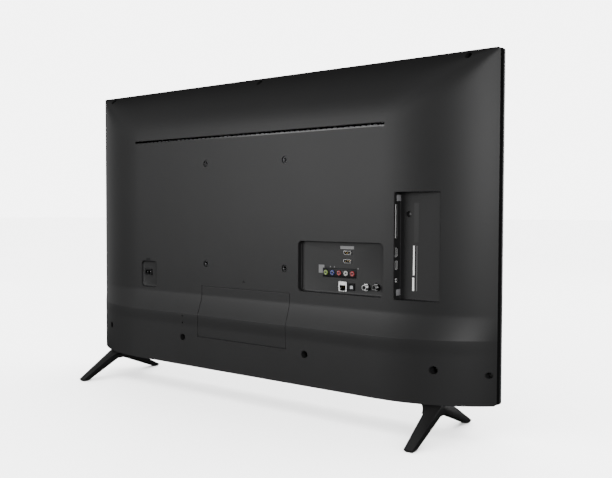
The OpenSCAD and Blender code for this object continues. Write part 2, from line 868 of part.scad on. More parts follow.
ribbon_t = 0.5;
ribbon_w = 20;
ribbon_in = 14;
ribbon_end = 12;
module panel_ribbon() {
    x = from(main_box[0][1] - ribbon_in, [-ribbon_w, 0]);
    z = about(mid(tcon_box[1]), ribbon_w / 2);
    y = from(board_back, [0, ribbon_t]);
    color("#d9dadb") {
        span(x, y, [z[0], main_box[1][0] + ribbon_in]);
        span([x[0], tcon_box[0][0] + ribbon_end], y, z);
    }
}

harness_w = 12;
harness_t = 1.4;
harness_up = 140;
module power_harness() {
    color("#c9c2b4") span([main_box[0][1] - harness_w, power_box[0][0] + harness_w], from(board_back, [0, harness_t]),
        about(main_box[1][0] + harness_up, harness_w / 2));
}

speaker_driver_r = 15;
driver_gap = 0.2;
driver_h = 14;
module speaker(side) {
    color("#19191a") mirror([side, 0, 0]) difference() {
        span(speaker_x, speaker_y, speaker_z);
        span(speaker_x + wall * [1, -1], speaker_y + wall * [1, -1], speaker_z + wall * [1, -1]);
        translate([mid(speaker_x), mid(speaker_y), speaker_z[0] - over])
            cylinder(r = speaker_driver_r, h = wall + 2 * over);
    }
}

module left_speaker() {
    speaker(0);
}

module right_speaker() {
    speaker(1);
}

basket_r = 12;
magnet_r = 9;
magnet_low = 8;
module speaker_drivers() {
    color("#2d2d2f") for (side = [0, 1]) mirror([side, 0, 0])
        translate([mid(speaker_x), mid(speaker_y), speaker_z[0]]) rotate_extrude() polygon([
            [0, 2.5], [3, 2.5], [11, 0.6], [speaker_driver_r - driver_gap, 0.6],
            [speaker_driver_r - driver_gap, wall + 1], [basket_r, wall + 1],
            [magnet_r, magnet_low], [magnet_r, driver_h], [0, driver_h]]);
}

switch_h = 3.4;
key_w = 46;
key_t = 1.2;
key_y = [lcd_y + slip, button_y + button_d / 2 + 2];
module key_board() {
    top = key_z + key_t;
    color("#245c3c") {
        span(key_w / 2 * [-1, 1], key_y, [key_z, top]);
        span(about(0, 3), about(button_y, 2), [key_z - switch_h, key_z + key_t / 2]);
        span(about(0, 4), [key_y[0], key_y[0] + 4], [key_z + key_t / 2, ir_z + ir_size[1] / 2 + 1]);
    }
}

module ir_window() {
    color("#3a1216") along_y([front_y + slip, key_y[0] - slip])
        rect_at([0, ir_z], ir_size - 2 * thread_gap * [1, 1]);
}

button_top = key_z - switch_h - slip - button_travel;
module power_button() {
    low = cover_z + wall + slip;
    color("#1a1a1b") {
        span(about(0, button_w / 2), about(button_y, button_d / 2), [cover_z - button_proud, button_top]);
        span(about(0, button_w / 2 + 2), about(button_y, button_d / 2 + 1), [low, low + button_flange]);
    }
}

module hdmi_sockets() {
    color("#b8babc") for (at = hdmi_at)
        rear_socket(av_pos(at), hdmi_size, hdmi_hole, av_face, 11);
}

rca_face = av_floor + 1;
module rca_block_body() {
    color("#0d0d0e") along_y([board_back, rca_face])
        rect_at([mid([rca_x[0], rca_x[4]]), rca_z], rca_block);
}

module rca_tubes() {
    color("#c8cacc") for (x = rca_x) difference() {
        rod_y([x, rca_z], rca_tube_r, [rca_face, rca_face + rca_tube_l]);
        rod_y([x, rca_z], rca_pin_r, [rca_face + over, rca_face + rca_tube_l + over]);
    }
}

module rca_ring(tint, index) {
    color(tint) for (i = index) difference() {
        rod_y([rca_x[i], rca_z], rca_ring_r, [rca_face, rca_face + rca_ring_t]);
        rod_y([rca_x[i], rca_z], rca_tube_r + thread_gap, [rca_face - over, rca_face + rca_ring_t + over]);
    }
}

module rca_ring_green() {
    rca_ring("#8fae3c", [0]);
}

module rca_ring_blue() {
    rca_ring("#2747b8", [1]);
}

module rca_rings_red() {
    rca_ring("#c3202c", [2, 4]);
}

module rca_ring_white() {
    rca_ring("#f0f0ee", [3]);
}

lan_notch = [6, 3];
lan_drop = 2.5;
lan_deep = 12;
module network_jack() {
    at = av_pos(lan_at);
    mouth = at - [0, lan_drop];
    color("#c9cbcd") {
        along_y([board_back, av_face - lan_deep]) rect_at(at, lan_size);
        along_y([av_face - lan_deep, av_face]) difference() {
            rect_at(at, lan_size);
            rect_at(mouth, lan_hole);
            rect_at(mouth - [0, (lan_hole[1] + lan_notch[1]) / 2 - 0.1], lan_notch + [0, 0.2]);
        }
    }
}

hinge_at = [av_face - 1.4, opt_pos[1] + opt_hole[1] / 2 - 1];
module optical_socket() {
    color("#0b0b0c") difference() {
        rear_socket(opt_pos, opt_size, opt_hole, av_face, opt_hole_l);
        rod_x(hinge_at, shutter_pin_r + shutter_pin_gap, about(opt_pos[0], opt_hole[0] / 2 + 1));
    }
}

shutter_side = 0.3;
module optical_shutter() {
    half = opt_hole[0] / 2 - shutter_side;
    color("#9b9da0") {
        span(about(opt_pos[0], half), about(hinge_at[0], shutter_t / 2),
            [opt_pos[1] - opt_hole[1] / 2 + shutter_side, hinge_at[1]]);
        rod_x(hinge_at, shutter_pin_r, about(opt_pos[0], opt_hole[0] / 2 + 0.8));
    }
}

module coax(at, long) {
    face = av_floor + long;
    color("#c4c6c8") difference() {
        union() {
            along_y([board_back, av_floor + ant_nut_l]) translate(at) circle(ant_nut_r, $fn = 6);
            rod_y(at, ant_r, [av_floor, face]);
        }
        rod_y(at, 0.6, [face - 6, face + over]);
    }
}

module antenna_socket() {
    coax(av_pos(ant_at), ant_l);
}

module satellite_socket() {
    coax(av_pos(sat_at), ant_l);
}

// A socket facing -X at the side wall: a riser block on the main board with a mouth near its top
module side_socket(dz, hole, deep) {
    z = about(side_mid + dz, hole[0] / 2 + side_rim);
    top = side_port_y + hole[1] / 2 + side_rim;
    x = [side_x + 0.4, side_x + deep];
    difference() {
        union() {
            span([side_x + wall + 2, x[1]], [board_back, top], z);
            span(x, about(side_port_y, hole[1] / 2 + side_rim), z);
        }
        span([x[0] - over, x[1] - side_rim], about(side_port_y, hole[1] / 2),
            about(side_mid + dz, hole[0] / 2));
    }
}

module card_slot() {
    color("#8d8f92") side_socket(card_dz, card_hole, card_deep);
}

module side_hdmi_socket() {
    color("#b8babc") side_socket(side_hdmi_dz, hdmi_hole, side_deep);
}

module usb_socket() {
    color("#b8babc") side_socket(usb_dz, usb_hole, side_deep);
}

module audio_jack() {
    z = side_mid + audio_dz;
    r = audio_r + side_rim;
    color("#141415") difference() {
        union() {
            span([side_x + wall + 2, side_x + side_deep], [board_back, side_port_y + r], about(z, r));
            rod_x([side_port_y, z], r, [side_x + 0.4, side_x + side_deep]);
        }
        rod_x([side_port_y, z], audio_r, [side_x - over, side_x + side_deep - 2]);
    }
}

gasket = [13, 10.5];
gasket_in = 5.5;
gasket_t = 1.2;
module grounding_pads() {
    color("#8b8c8e") for (dz = pad_dz)
        span([side_x - gasket_t, side_x], about(side_port_y - gasket_in, gasket[0] / 2),
            about(side_mid + dz, gasket[1] / 2));
}

// One foot: a V in side view, tapered in front view, with a flare towards the body's middle
foot_back = 32;
crotch_back = 3;
crotch_half = 17;
flare_r = 13;
flare_l = 18;
foot_top = cover_z;
module foot_side() {
    tip = foot_reach - foot_tip_l;
    root = about(rim_y + foot_back, foot_root_l / 2);
    crotch = about(mid(root) + crotch_back, crotch_half);
    polygon([
        [root[0], foot_top], [-foot_reach, pad_t + 3], [-foot_reach + 2, pad_t], [-tip, pad_t],
        [crotch[0], foot_gap_h - 3], [crotch[0] + 6, foot_gap_h], [crotch[1] - 6, foot_gap_h],
        [crotch[1], foot_gap_h - 3], [tip, pad_t], [foot_reach - 2, pad_t], [foot_reach, pad_t + 3],
        [root[1], foot_top]]);
}

module foot_front() {
    polygon([
        [-foot_tip_w / 2, 0], [foot_tip_w / 2, 0], [foot_root_w / 2, foot_top], [-foot_root_w / 2, foot_top]]);
    difference() {
        translate([-foot_root_w / 2 - flare_l, foot_top - flare_r])
            square([flare_l + foot_root_w / 2, flare_r]);
        translate([-foot_root_w / 2 - flare_l, foot_top - 1.5 - flare_l]) circle(flare_l);
        translate([-foot_root_w / 2 - 2 * flare_l, foot_top - 3 * flare_r])
            square([flare_l, 3 * flare_r - 1.5]);
    }
}

module foot(side) {
    color("#0f0f10") mirror([side, 0, 0]) translate([foot_x, 0, 0]) difference() {
        union() {
            intersection() {
                along_x((foot_root_w + flare_l * 2) * [-1, 1]) foot_side();
                along_y(foot_reach * [-1, 1]) foot_front();
            }
            span(tenon_w / 2 * [-1, 1], [tenon_y, tenon_back], [foot_top - over, foot_top + tenon_h]);
        }
        rod_y([0, z0 + well_low_h], foot_shank_r + slip, [tenon_y - over, tenon_back + over]);
    }
}

module left_foot() {
    foot(0);
}

module right_foot() {
    foot(1);
}

pad_in = 1.5;
module foot_pads() {
    y = [foot_reach - foot_tip_l + pad_in, foot_reach - pad_in - 1];
    color("#1c1c1c") for (s = [-1, 1], m = [0, 1]) translate([s * foot_x, 0, 0]) mirror([0, m, 0])
        span((foot_tip_w / 2 - pad_in) * [-1, 1], y, [0, pad_t]);
}

bracket_w = 40;
module foot_brackets() {
    z = [floor_z[0] + 3, foot_top + tenon_h + 10];
    color("#9fa2a4") for (at = foot_wells) difference() {
        span(about(at[0], bracket_w / 2), [chassis_y, tenon_y], z);
        rod_y(at, foot_shank_r + thread_gap, [chassis_y + 0.5, tenon_y + over]);
    }
}

module screw(at, seat, r, long, head) {
    rod_y(at, head, [seat, seat + head_h]);
    rod_y(at, r, [seat - long, seat + head_h / 2]);
}

module foot_screws() {
    color("#2a2a2b") for (at = foot_wells)
        screw(at, tenon_back, foot_shank_r, tenon_w + bracket_t - 1, head_r + 0.2);
}

module cover_screws() {
    color("#2a2a2b") {
        for (at = deep_wells) screw(at, seat_y + seat_t, shank_r, seat_t + 6, head_r);
        for (at = edge_wells) screw(at, edge_seat_y + seat_t, shank_r, seat_t + 7, head_r);
    }
}

rear_cover();
access_cover();
front_bezel();
lcd_panel();
middle_frame();
optical_sheets();
diffuser_plate();
reflector_sheet();
led_bars();
led_lenses();
back_chassis();
vesa_posts();
board_standoffs();
board_screws();
main_board();
heat_sink();
power_board();
transformers();
capacitors();
power_inlet();
tcon_board();
panel_ribbon();
power_harness();
wifi_module();
left_speaker();
right_speaker();
speaker_drivers();
key_board();
ir_window();
power_button();
hdmi_sockets();
rca_block_body();
rca_tubes();
rca_ring_green();
rca_ring_blue();
rca_rings_red();
rca_ring_white();
network_jack();
optical_socket();
optical_shutter();
antenna_socket();
satellite_socket();
card_slot();
side_hdmi_socket();
usb_socket();
audio_jack();
grounding_pads();
left_foot();
right_foot();
foot_pads();
foot_brackets();
foot_screws();
cover_screws();
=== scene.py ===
"""Looks of a flat screen television on two V-shaped feet, seen from its back. Sizes are in millimetres."""
import json
import math

import bmesh
import bpy
import numpy as np
from mathutils import Matrix, Vector

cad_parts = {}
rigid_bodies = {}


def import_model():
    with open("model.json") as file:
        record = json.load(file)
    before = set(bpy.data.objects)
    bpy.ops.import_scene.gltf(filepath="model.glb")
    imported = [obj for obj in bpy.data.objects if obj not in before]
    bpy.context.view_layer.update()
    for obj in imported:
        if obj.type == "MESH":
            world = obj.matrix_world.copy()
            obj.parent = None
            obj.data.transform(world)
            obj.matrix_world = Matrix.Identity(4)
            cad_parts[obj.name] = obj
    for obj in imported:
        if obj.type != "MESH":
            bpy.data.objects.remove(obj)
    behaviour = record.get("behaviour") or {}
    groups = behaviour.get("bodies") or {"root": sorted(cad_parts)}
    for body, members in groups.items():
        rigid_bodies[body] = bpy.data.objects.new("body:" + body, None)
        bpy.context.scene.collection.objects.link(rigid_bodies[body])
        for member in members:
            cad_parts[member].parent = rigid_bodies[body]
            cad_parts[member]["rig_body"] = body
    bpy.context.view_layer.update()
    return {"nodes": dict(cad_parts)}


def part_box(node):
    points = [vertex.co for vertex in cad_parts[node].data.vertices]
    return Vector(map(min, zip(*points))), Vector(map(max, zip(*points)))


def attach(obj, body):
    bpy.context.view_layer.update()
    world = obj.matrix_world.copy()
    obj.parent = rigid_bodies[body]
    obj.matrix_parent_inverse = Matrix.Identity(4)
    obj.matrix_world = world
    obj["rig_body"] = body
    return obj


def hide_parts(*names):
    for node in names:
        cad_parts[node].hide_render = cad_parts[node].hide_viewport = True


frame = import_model()
nodes = frame["nodes"]
MM = 0.001

# Rear cover: its outline, and the depths of its back behind the rim
HALF_W = 487.5
COVER_LOW = 57.0
COVER_TOP = 634.0
CORNER_R = 5.0
SEAM_Y = -41.0
RIM_Y = -28.0
FLAT_HALF = 300.0
PLATEAU = 61.0
PLATEAU_Y = RIM_Y + PLATEAU
LOWER = 73.0
LIP = 74.0
LIP_LOW = 160.0
LIP_TOP = 163.0
LIP_RISE = 24.0
BAND_TOP = 202.0
BAND_CURVE = 1.25
TOP_START = 523.0
TOP_RUN = 111.0
WALL = 2.5
RIM_BEVEL = 0.6

# Cutters reach PAST or OVER a face, or to TOP_Y behind the whole back; walls end SKIN under the outside
PAST = 1.0
OVER = 4.0
TOP_Y = 60.0
SKIN = 1.0

# Terminal recess
AV_X = -221.0
AV_FLOOR = 23.0
AV_AT = (AV_X, 272.0)
AV_SIZE = (178.5, 92.0)
RECESS_R = 8.0
RECESS_ROUND = 1.6

# Mains inlet recess
INLET_X = 268.0
INLET_Z = 237.0
INLET_FLOOR = 29.0
INLET_AT = (INLET_X, INLET_Z)
INLET_SIZE = (47.0, 56.0)
INLET_ROUND = 3.6

# Side terminal recess, whose sockets sit in its inner wall
SIDE_X = -330.0
SIDE_END = SIDE_X - 76.0
SIDE_LOW = 224.0
SIDE_HIGH = 404.0
SIDE_FLOOR = 10.0
SIDE_PORT_Y = 22.5
SIDE_AT = ((SIDE_X + SIDE_END) / 2, (SIDE_LOW + SIDE_HIGH) / 2)
SIDE_SIZE = (SIDE_X - SIDE_END, SIDE_HIGH - SIDE_LOW)
SIDE_R = 3.0
SIDE_ROUND = 1.0

# Vent slit, with holes between fins deep inside it and a sloped lip below
SLIT_HALF = 311.0
SLIT_LOW = 516.5
SLIT_HIGH = 521.0
SLIT_FINS = 19.0
SLIT_DEPTH = 21.0
SLIT_WALL = 2.0
SLIT_ROOF = 1.8
SLIT_HOLES = 52
FIN_HALF = 1.0
FIN_EDGE = 0.3
FIN_OVER = 0.5
SLOPE_Z = (SLIT_LOW - 2.6, SLIT_LOW + 0.2)
SLOPE_SINK = (0.02, -0.4)

# Access cover and its pegs
ACCESS_HALF = 112.0
ACCESS_LOW = 119.0
ACCESS_HIGH = 221.0
ACCESS_T = 2.2
ACCESS_GAP = 0.5
ACCESS_SEAT = 0.3
ACCESS_ROUND = 0.6
PEG_X = 98.0
PEG_IN = 8.5
PEG_SIZE = (8.0, 3.0)
PEG_LOW_Y = 34.8
PEG_HIGH_Y = 30.8
PEG_REACH = (-5.0, 0.5)

# Screw wells and other round holes, as x and z
WELL_R = 5.0
LOW_WELL_R = 6.5
WELL_WALL = 2.0
WELL_FLOOR = 3.0
SCREW_HOLE_R = 1.8
DEEP_SEAT = 3.4
EDGE_SEAT = -29.9
FOOT_SEAT = 9.4
LOW_WELLS = [(-155.0, 114.0), (155.0, 114.0)]
SIDE_WELL = (-346.0, 367.0)
EDGE_WELLS = [(-477.5, 107.5), (477.5, 107.5), (-438.5, 623.0), (0.0, 623.0), (438.5, 623.0)]
FOOT_X = 401.25
FOOT_WELLS = [(-FOOT_X, 114.0), (FOOT_X, 114.0)]
WELLS = [(LOW_WELLS, LOW_WELL_R, DEEP_SEAT), ([SIDE_WELL], WELL_R, DEEP_SEAT),
         (EDGE_WELLS, WELL_R, EDGE_SEAT), (FOOT_WELLS, LOW_WELL_R, FOOT_SEAT)]
TIE_HOLES = [(155.0, 144.0), (155.0, 158.0)]
TIE_FLOOR = 28.0
VESA = [(x, z) for x in (-100.0, 100.0) for z in (266.0, 466.0)]
POST_HOLE_R = 6.3
POST_HOLE_DEEP = 8.0


# Materials: each is a principled shader whose colour, roughness and normal come from procedural textures
def started(name):
    material = bpy.data.materials.new(name)
    material.use_nodes = True
    tree = material.node_tree
    shader = tree.nodes["Principled BSDF"]
    where = tree.nodes.new("ShaderNodeTexCoord")
    return material, tree, shader, where


def noise(tree, where, scale, detail=2.0, stretch=(1.0, 1.0, 1.0)):
    mapping = tree.nodes.new("ShaderNodeMapping")
    mapping.inputs["Scale"].default_value = stretch
    texture = tree.nodes.new("ShaderNodeTexNoise")
    texture.inputs["Scale"].default_value = scale
    texture.inputs["Detail"].default_value = detail
    tree.links.new(where.outputs["Object"], mapping.inputs["Vector"])
    tree.links.new(mapping.outputs["Vector"], texture.inputs["Vector"])
    return texture


def shades(colour, spread):
    dark = tuple(c * (1.0 - spread) for c in colour)
    light = tuple(min(1.0, c * (1.0 + spread)) for c in colour)
    return dark, light


def tinted(tree, shader, source, colour, spread, start, end):
    """Base colour that goes from a darker to a lighter shade as the source goes from start to end."""
    node = tree.nodes.new("ShaderNodeValToRGB")
    low, high = node.color_ramp.elements
    dark, light = shades(colour, spread)
    low.position = start
    low.color = (*dark, 1.0)
    high.position = end
    high.color = (*light, 1.0)
    tree.links.new(source, node.inputs["Fac"])
    tree.links.new(node.outputs["Color"], shader.inputs["Base Color"])


def roughened(tree, shader, source, low, high):
    node = tree.nodes.new("ShaderNodeMapRange")
    node.inputs["To Min"].default_value = low
    node.inputs["To Max"].default_value = high
    tree.links.new(source, node.inputs["Value"])
    tree.links.new(node.outputs["Result"], shader.inputs["Roughness"])


def bumped(tree, shader, source, distance, strength):
    node = tree.nodes.new("ShaderNodeBump")
    node.inputs["Strength"].default_value = strength
    node.inputs["Distance"].default_value = distance
    tree.links.new(source, node.inputs["Height"])
    tree.links.new(node.outputs["Normal"], shader.inputs["Normal"])


def moulded(name, colour, rough, grain=1400.0, depth=0.00004, spread=0.08, rough_spread=0.06, specular=0.5,
            patch=9.0, metallic=0.0, stretch=(1.0, 1.0, 1.0)):
    """Plastic, paint or metal with a fine grain, slow colour variation and uneven roughness."""
    material, tree, shader, where = started(name)
    slow = noise(tree, where, patch, 4.0)
    tinted(tree, shader, slow.outputs["Fac"], colour, spread, 0.3, 0.7)
    fine = noise(tree, where, grain, 2.0, stretch)
    roughened(tree, shader, fine.outputs["Fac"], rough - rough_spread, rough + rough_spread)
    bumped(tree, shader, fine.outputs["Fac"], depth, 0.35)
    shader.inputs["Metallic"].default_value = metallic
    shader.inputs["Specular IOR Level"].default_value = specular
    return material


def plated(name, level, rough, spread):
    """Nickel plate with a drawn grain."""
    return moulded(name, (level, level, level), rough, grain=900.0, depth=0.00001, spread=spread, metallic=1.0,
                   stretch=(1.0, 1.0, 6.0))


def board_paint(name, colour):
    """A circuit board: solder mask with lighter tracks."""
    material, tree, shader, where = started(name)
    tracks = tree.nodes.new("ShaderNodeTexBrick")
    tracks.inputs["Scale"].default_value = 90.0
    tracks.inputs["Mortar Size"].default_value = 0.03
    dark, light = shades(colour, 0.35)
    tracks.inputs["Color1"].default_value = (*dark, 1.0)
    tracks.inputs["Color2"].default_value = (*colour, 1.0)
    tracks.inputs["Mortar"].default_value = (*light, 1.0)
    turn = tree.nodes.new("ShaderNodeMapping")
    turn.inputs["Rotation"].default_value = (math.pi / 2, 0.0, 0.0)
    tree.links.new(where.outputs["Object"], turn.inputs["Vector"])
    tree.links.new(turn.outputs["Vector"], tracks.inputs["Vector"])
    tree.links.new(tracks.outputs["Color"], shader.inputs["Base Color"])
    fine = noise(tree, where, 300.0)
    roughened(tree, shader, fine.outputs["Fac"], 0.25, 0.45)
    return material


def galvanised(name, colour):
    """Sheet steel with the large crystals of its zinc."""
    material, tree, shader, where = started(name)
    cells = tree.nodes.new("ShaderNodeTexVoronoi")
    cells.inputs["Scale"].default_value = 110.0
    tree.links.new(where.outputs["Object"], cells.inputs["Vector"])
    tinted(tree, shader, cells.outputs["Color"], colour, 0.15, 0.2, 0.8)
    roughened(tree, shader, cells.outputs["Distance"], 0.3, 0.5)
    shader.inputs["Metallic"].default_value = 1.0
    return material


def woven(name, colour):
    """Conductive cloth over foam: two crossed sets of threads."""
    material, tree, shader, where = started(name)
    both = tree.nodes.new("ShaderNodeMath")
    both.operation = "MULTIPLY"
    for i, direction in enumerate(("X", "Z")):
        wave = tree.nodes.new("ShaderNodeTexWave")
        wave.bands_direction = direction
        wave.inputs["Scale"].default_value = 600.0
        tree.links.new(where.outputs["Object"], wave.inputs["Vector"])
        tree.links.new(wave.outputs["Fac"], both.inputs[i])
    tinted(tree, shader, both.outputs["Value"], colour, 0.25, 0.0, 1.0)
    bumped(tree, shader, both.outputs["Value"], 0.0001, 1.0)
    shader.inputs["Roughness"].default_value = 0.6
    shader.inputs["Metallic"].default_value = 0.5
    return material


COVER = moulded("cover_plastic", (0.012, 0.012, 0.0122), 0.45, spread=0.06, specular=0.19)
# Slit lip: the cover plastic made glossier, with a lighter colour that paints the lip's highlight
LIP_GLOSS_AND_HIGHLIGHT = moulded("slit_lip_painted_highlight", (0.016, 0.016, 0.0163), 0.22, spread=0.06, specular=0.3)
ACCESS = moulded("access_plastic", (0.0115, 0.0115, 0.0117), 0.45, spread=0.06, specular=0.19)
# Side recess floor: the cover plastic darker, as painted shade in the recess
RECESS_PAINTED_SHADE = moulded("recess_floor_painted_shade", (0.0095, 0.0095, 0.0097), 0.5, spread=0.06, specular=0.15)
# Cover side wall and inside of the slit: near black with no specular, as painted shade
RIM_AND_SLIT_PAINTED_SHADE = moulded("cover_rim_painted_shade", (0.007, 0.007, 0.0071), 0.5, spread=0.06, specular=0.0)
BEZEL = moulded("bezel_plastic", (0.045, 0.045, 0.046), 0.36, grain=2200.0, specular=0.35)
FOOT = moulded("foot_plastic", (0.0095, 0.0095, 0.0095), 0.4, grain=1800.0, spread=0.15, specular=0.5)
SCREEN = moulded("screen_glass", (0.004, 0.0042, 0.005), 0.16, grain=5200.0, depth=0.000004, rough_spread=0.02)
BLACK = moulded("black_plastic", (0.005, 0.005, 0.0055), 0.45, spread=0.2, specular=0.12)
DARK = moulded("dark_plastic", (0.02, 0.02, 0.02), 0.5, spread=0.15)
FILM = moulded("white_film", (0.85, 0.86, 0.86), 0.55, grain=300.0, depth=0.00001, spread=0.02)
LENS = moulded("lens_acrylic", (0.75, 0.8, 0.84), 0.12, grain=200.0, depth=0.000005, spread=0.03)
LACQUER = moulded("bar_lacquer", (0.85, 0.87, 0.85), 0.4, grain=700.0, spread=0.03)
STEEL = galvanised("galvanised_steel", (0.56, 0.57, 0.58))
NICKEL = plated("nickel_plate", 0.4, 0.3, 0.05)
GREY_NICKEL = plated("grey_nickel", 0.2, 0.3, 0.06)
DARK_NICKEL = plated("dark_nickel", 0.12, 0.32, 0.08)
TIN = moulded("tinned_shield", (0.8, 0.8, 0.79), 0.34, grain=700.0, depth=0.00002, spread=0.06)
DULL_TIN = moulded("dull_tin", (0.45, 0.45, 0.445), 0.38, grain=700.0, depth=0.00002, spread=0.06)
GOLD = moulded("gold_contact", (0.8, 0.58, 0.22), 0.25, grain=900.0, depth=0.00001, spread=0.06, metallic=1.0)
BRASS = moulded("brass_post", (0.68, 0.55, 0.27), 0.32, grain=900.0, spread=0.06, metallic=1.0)
ZINC = moulded("zinc_screw", (0.5, 0.5, 0.51), 0.35, grain=900.0, spread=0.08, metallic=1.0)
BLACK_ZINC = moulded("black_zinc_screw", (0.05, 0.05, 0.05), 0.38, grain=900.0, spread=0.2, metallic=0.7)
ANODISED = moulded("anodised_sink", (0.32, 0.33, 0.34), 0.4, grain=500.0, spread=0.06, metallic=1.0,
                   stretch=(1.0, 1.0, 12.0))
POST = moulded("post_steel", (0.03, 0.03, 0.031), 0.34, grain=900.0, spread=0.15, metallic=0.9)
TAPE = moulded("yellow_tape", (0.7, 0.6, 0.12), 0.35, grain=400.0, spread=0.06)
SLEEVE = moulded("capacitor_sleeve", (0.02, 0.025, 0.04), 0.3, grain=500.0, spread=0.15)
CABLE = moulded("flat_cable", (0.7, 0.7, 0.68), 0.45, grain=500.0, spread=0.05, stretch=(1.0, 1.0, 9.0))
WINDOW = moulded("infrared_window", (0.035, 0.004, 0.006), 0.12, grain=300.0, depth=0.000005)
GREY = moulded("grey_plastic", (0.3, 0.31, 0.32), 0.4, spread=0.06)
CARD = moulded("card_slot_plastic", (0.02, 0.02, 0.021), 0.45, spread=0.1)
RUBBER = moulded("pad_rubber", (0.012, 0.012, 0.012), 0.75, grain=900.0, spread=0.2)
WHITE_PRINT = moulded("white_print", (0.82, 0.82, 0.81), 0.5, grain=800.0, depth=0.00001, spread=0.02)
BARE_LABEL = moulded("bare_label", (0.0112, 0.0112, 0.0114), 0.46, grain=800.0, depth=0.00001, spread=0.05,
                     specular=0.17)
GREY_PRINT = moulded("grey_print", (0.12, 0.12, 0.122), 0.5, grain=800.0, depth=0.00001, spread=0.05)
RINGS = {
    "green": moulded("ring_green", (0.3, 0.46, 0.06), 0.3, spread=0.06),
    "blue": moulded("ring_blue", (0.02, 0.05, 0.36), 0.3, spread=0.06),
    "red": moulded("ring_red", (0.55, 0.014, 0.025), 0.3, spread=0.06),
    "white": moulded("ring_white", (0.82, 0.82, 0.8), 0.3, spread=0.03),
}
GREEN_BOARD = board_paint("green_board", (0.02, 0.13, 0.05))
BROWN_BOARD = board_paint("brown_board", (0.3, 0.17, 0.07))
BLUE_BOARD = board_paint("blue_board", (0.02, 0.08, 0.16))
CLOTH = woven("gasket_cloth", (0.3, 0.3, 0.31))


# Mesh helpers
def build(name, verts, faces, material=None):
    mesh = bpy.data.meshes.new(name)
    mesh.from_pydata([(x * MM, y * MM, z * MM) for x, y, z in verts], [], faces)
    form = bmesh.new()
    form.from_mesh(mesh)
    bmesh.ops.recalc_face_normals(form, faces=form.faces[:])
    form.to_mesh(mesh)
    form.free()
    obj = bpy.data.objects.new(name, mesh)
    bpy.context.scene.collection.objects.link(obj)
    if material:
        mesh.materials.append(material)
    return obj


def shade(obj, angle=28.0):
    """Smooth shading that keeps edges sharper than an angle."""
    form = bmesh.new()
    form.from_mesh(obj.data)
    for face in form.faces:
        face.smooth = True
    for edge in form.edges:
        edge.smooth = len(edge.link_faces) == 2 and edge.calc_face_angle() < math.radians(angle)
    form.to_mesh(obj.data)
    form.free()


def combine(target, tool, how="DIFFERENCE", keep=False):
    """Cuts a solid with another, joins the two or keeps what they share."""
    modifier = target.modifiers.new("cut", "BOOLEAN")
    modifier.operation = how
    modifier.solver = "MANIFOLD"
    modifier.object = tool
    graph = bpy.context.evaluated_depsgraph_get()
    mesh = bpy.data.meshes.new_from_object(target.evaluated_get(graph))
    target.modifiers.clear()
    old = target.data
    target.data = mesh
    bpy.data.meshes.remove(old)
    if not keep:
        bpy.data.objects.remove(tool)
    return target


def loft(rings, loop=False):
    """A closed solid through rings of points that all have the same count; a loop comes back to its first ring."""
    count = len(rings[0])
    verts = [tuple(p) for ring in rings for p in ring]
    faces = []
    for i in range(len(rings) if loop else len(rings) - 1):
        near, far = i * count, (i + 1) % len(rings) * count
        for k in range(count):
            n = (k + 1) % count
            faces.append([near + k, near + n, far + n, far + k])
    if not loop:
        faces.append(list(range(count)))
        faces.append([(len(rings) - 1) * count + k for k in range(count)])
    return build("tool", verts, faces)


def rounded(w, h, r, steps=6):
    """Points round a rectangle with round corners, about its middle."""
    points = []
    for cx, cy, start in ((1, 1, 0), (-1, 1, 90), (-1, -1, 180), (1, -1, 270)):
        for i in range(steps + 1):
            a = math.radians(start + 90.0 * i / steps)
            points.append((cx * (w / 2 - r) + r * math.cos(a), cy * (h / 2 - r) + r * math.sin(a)))
    return points


def prism(outline, at, y):
    """A closed solid along y."""
    return loft([[(at[0] + u, depth, at[1] + v) for u, v in outline] for depth in y])


def circle(r, count=40):
    turns = [2 * math.pi * k / count for k in range(count)]
    return [(r * math.cos(a), r * math.sin(a)) for a in turns]


def span(middle, size):
    return middle - size / 2, middle + size / 2


def grown(size, by):
    return size[0] + 2 * by, size[1] + 2 * by


def group(parts, name="tool", material=None):
    """One object from several closed solids that don't touch."""
    verts, faces = [], []
    for part in parts:
        start = len(verts)
        mesh = part.data
        verts += [tuple(v.co / MM) for v in mesh.vertices]
        faces += [[start + i for i in p.vertices] for p in mesh.polygons]
        bpy.data.objects.remove(part)
    return build(name, verts, faces, material)


def rods(places, r, y):
    return group([prism(circle(r), at, y) for at in places])


def box(x, y, z):
    corners = [(x[0], z[0]), (x[1], z[0]), (x[1], z[1]), (x[0], z[1])]
    return loft([[(u, depth, v) for u, v in corners] for depth in y])


# The rear cover's surface: its depth behind the rim at any place
def arc_radius(run, drop):
    return (run * run + drop * drop) / (2 * drop)


def bulge_at(z):
    """Depth up the middle: the lower panel, the crease's lip and the band that runs up to the flat back."""
    step = np.clip((z - LIP_LOW + LIP_RISE) / LIP_RISE, 0.0, 1.0)
    low = LOWER + (LIP - LOWER) * step * step * (3 - 2 * step)
    t = np.clip((z - LIP_TOP) / (BAND_TOP - LIP_TOP), 0.0, 1.0)
    high = PLATEAU + (LIP - PLATEAU) * (1 - t) ** BAND_CURVE
    return np.where(z < LIP_TOP, low, high)


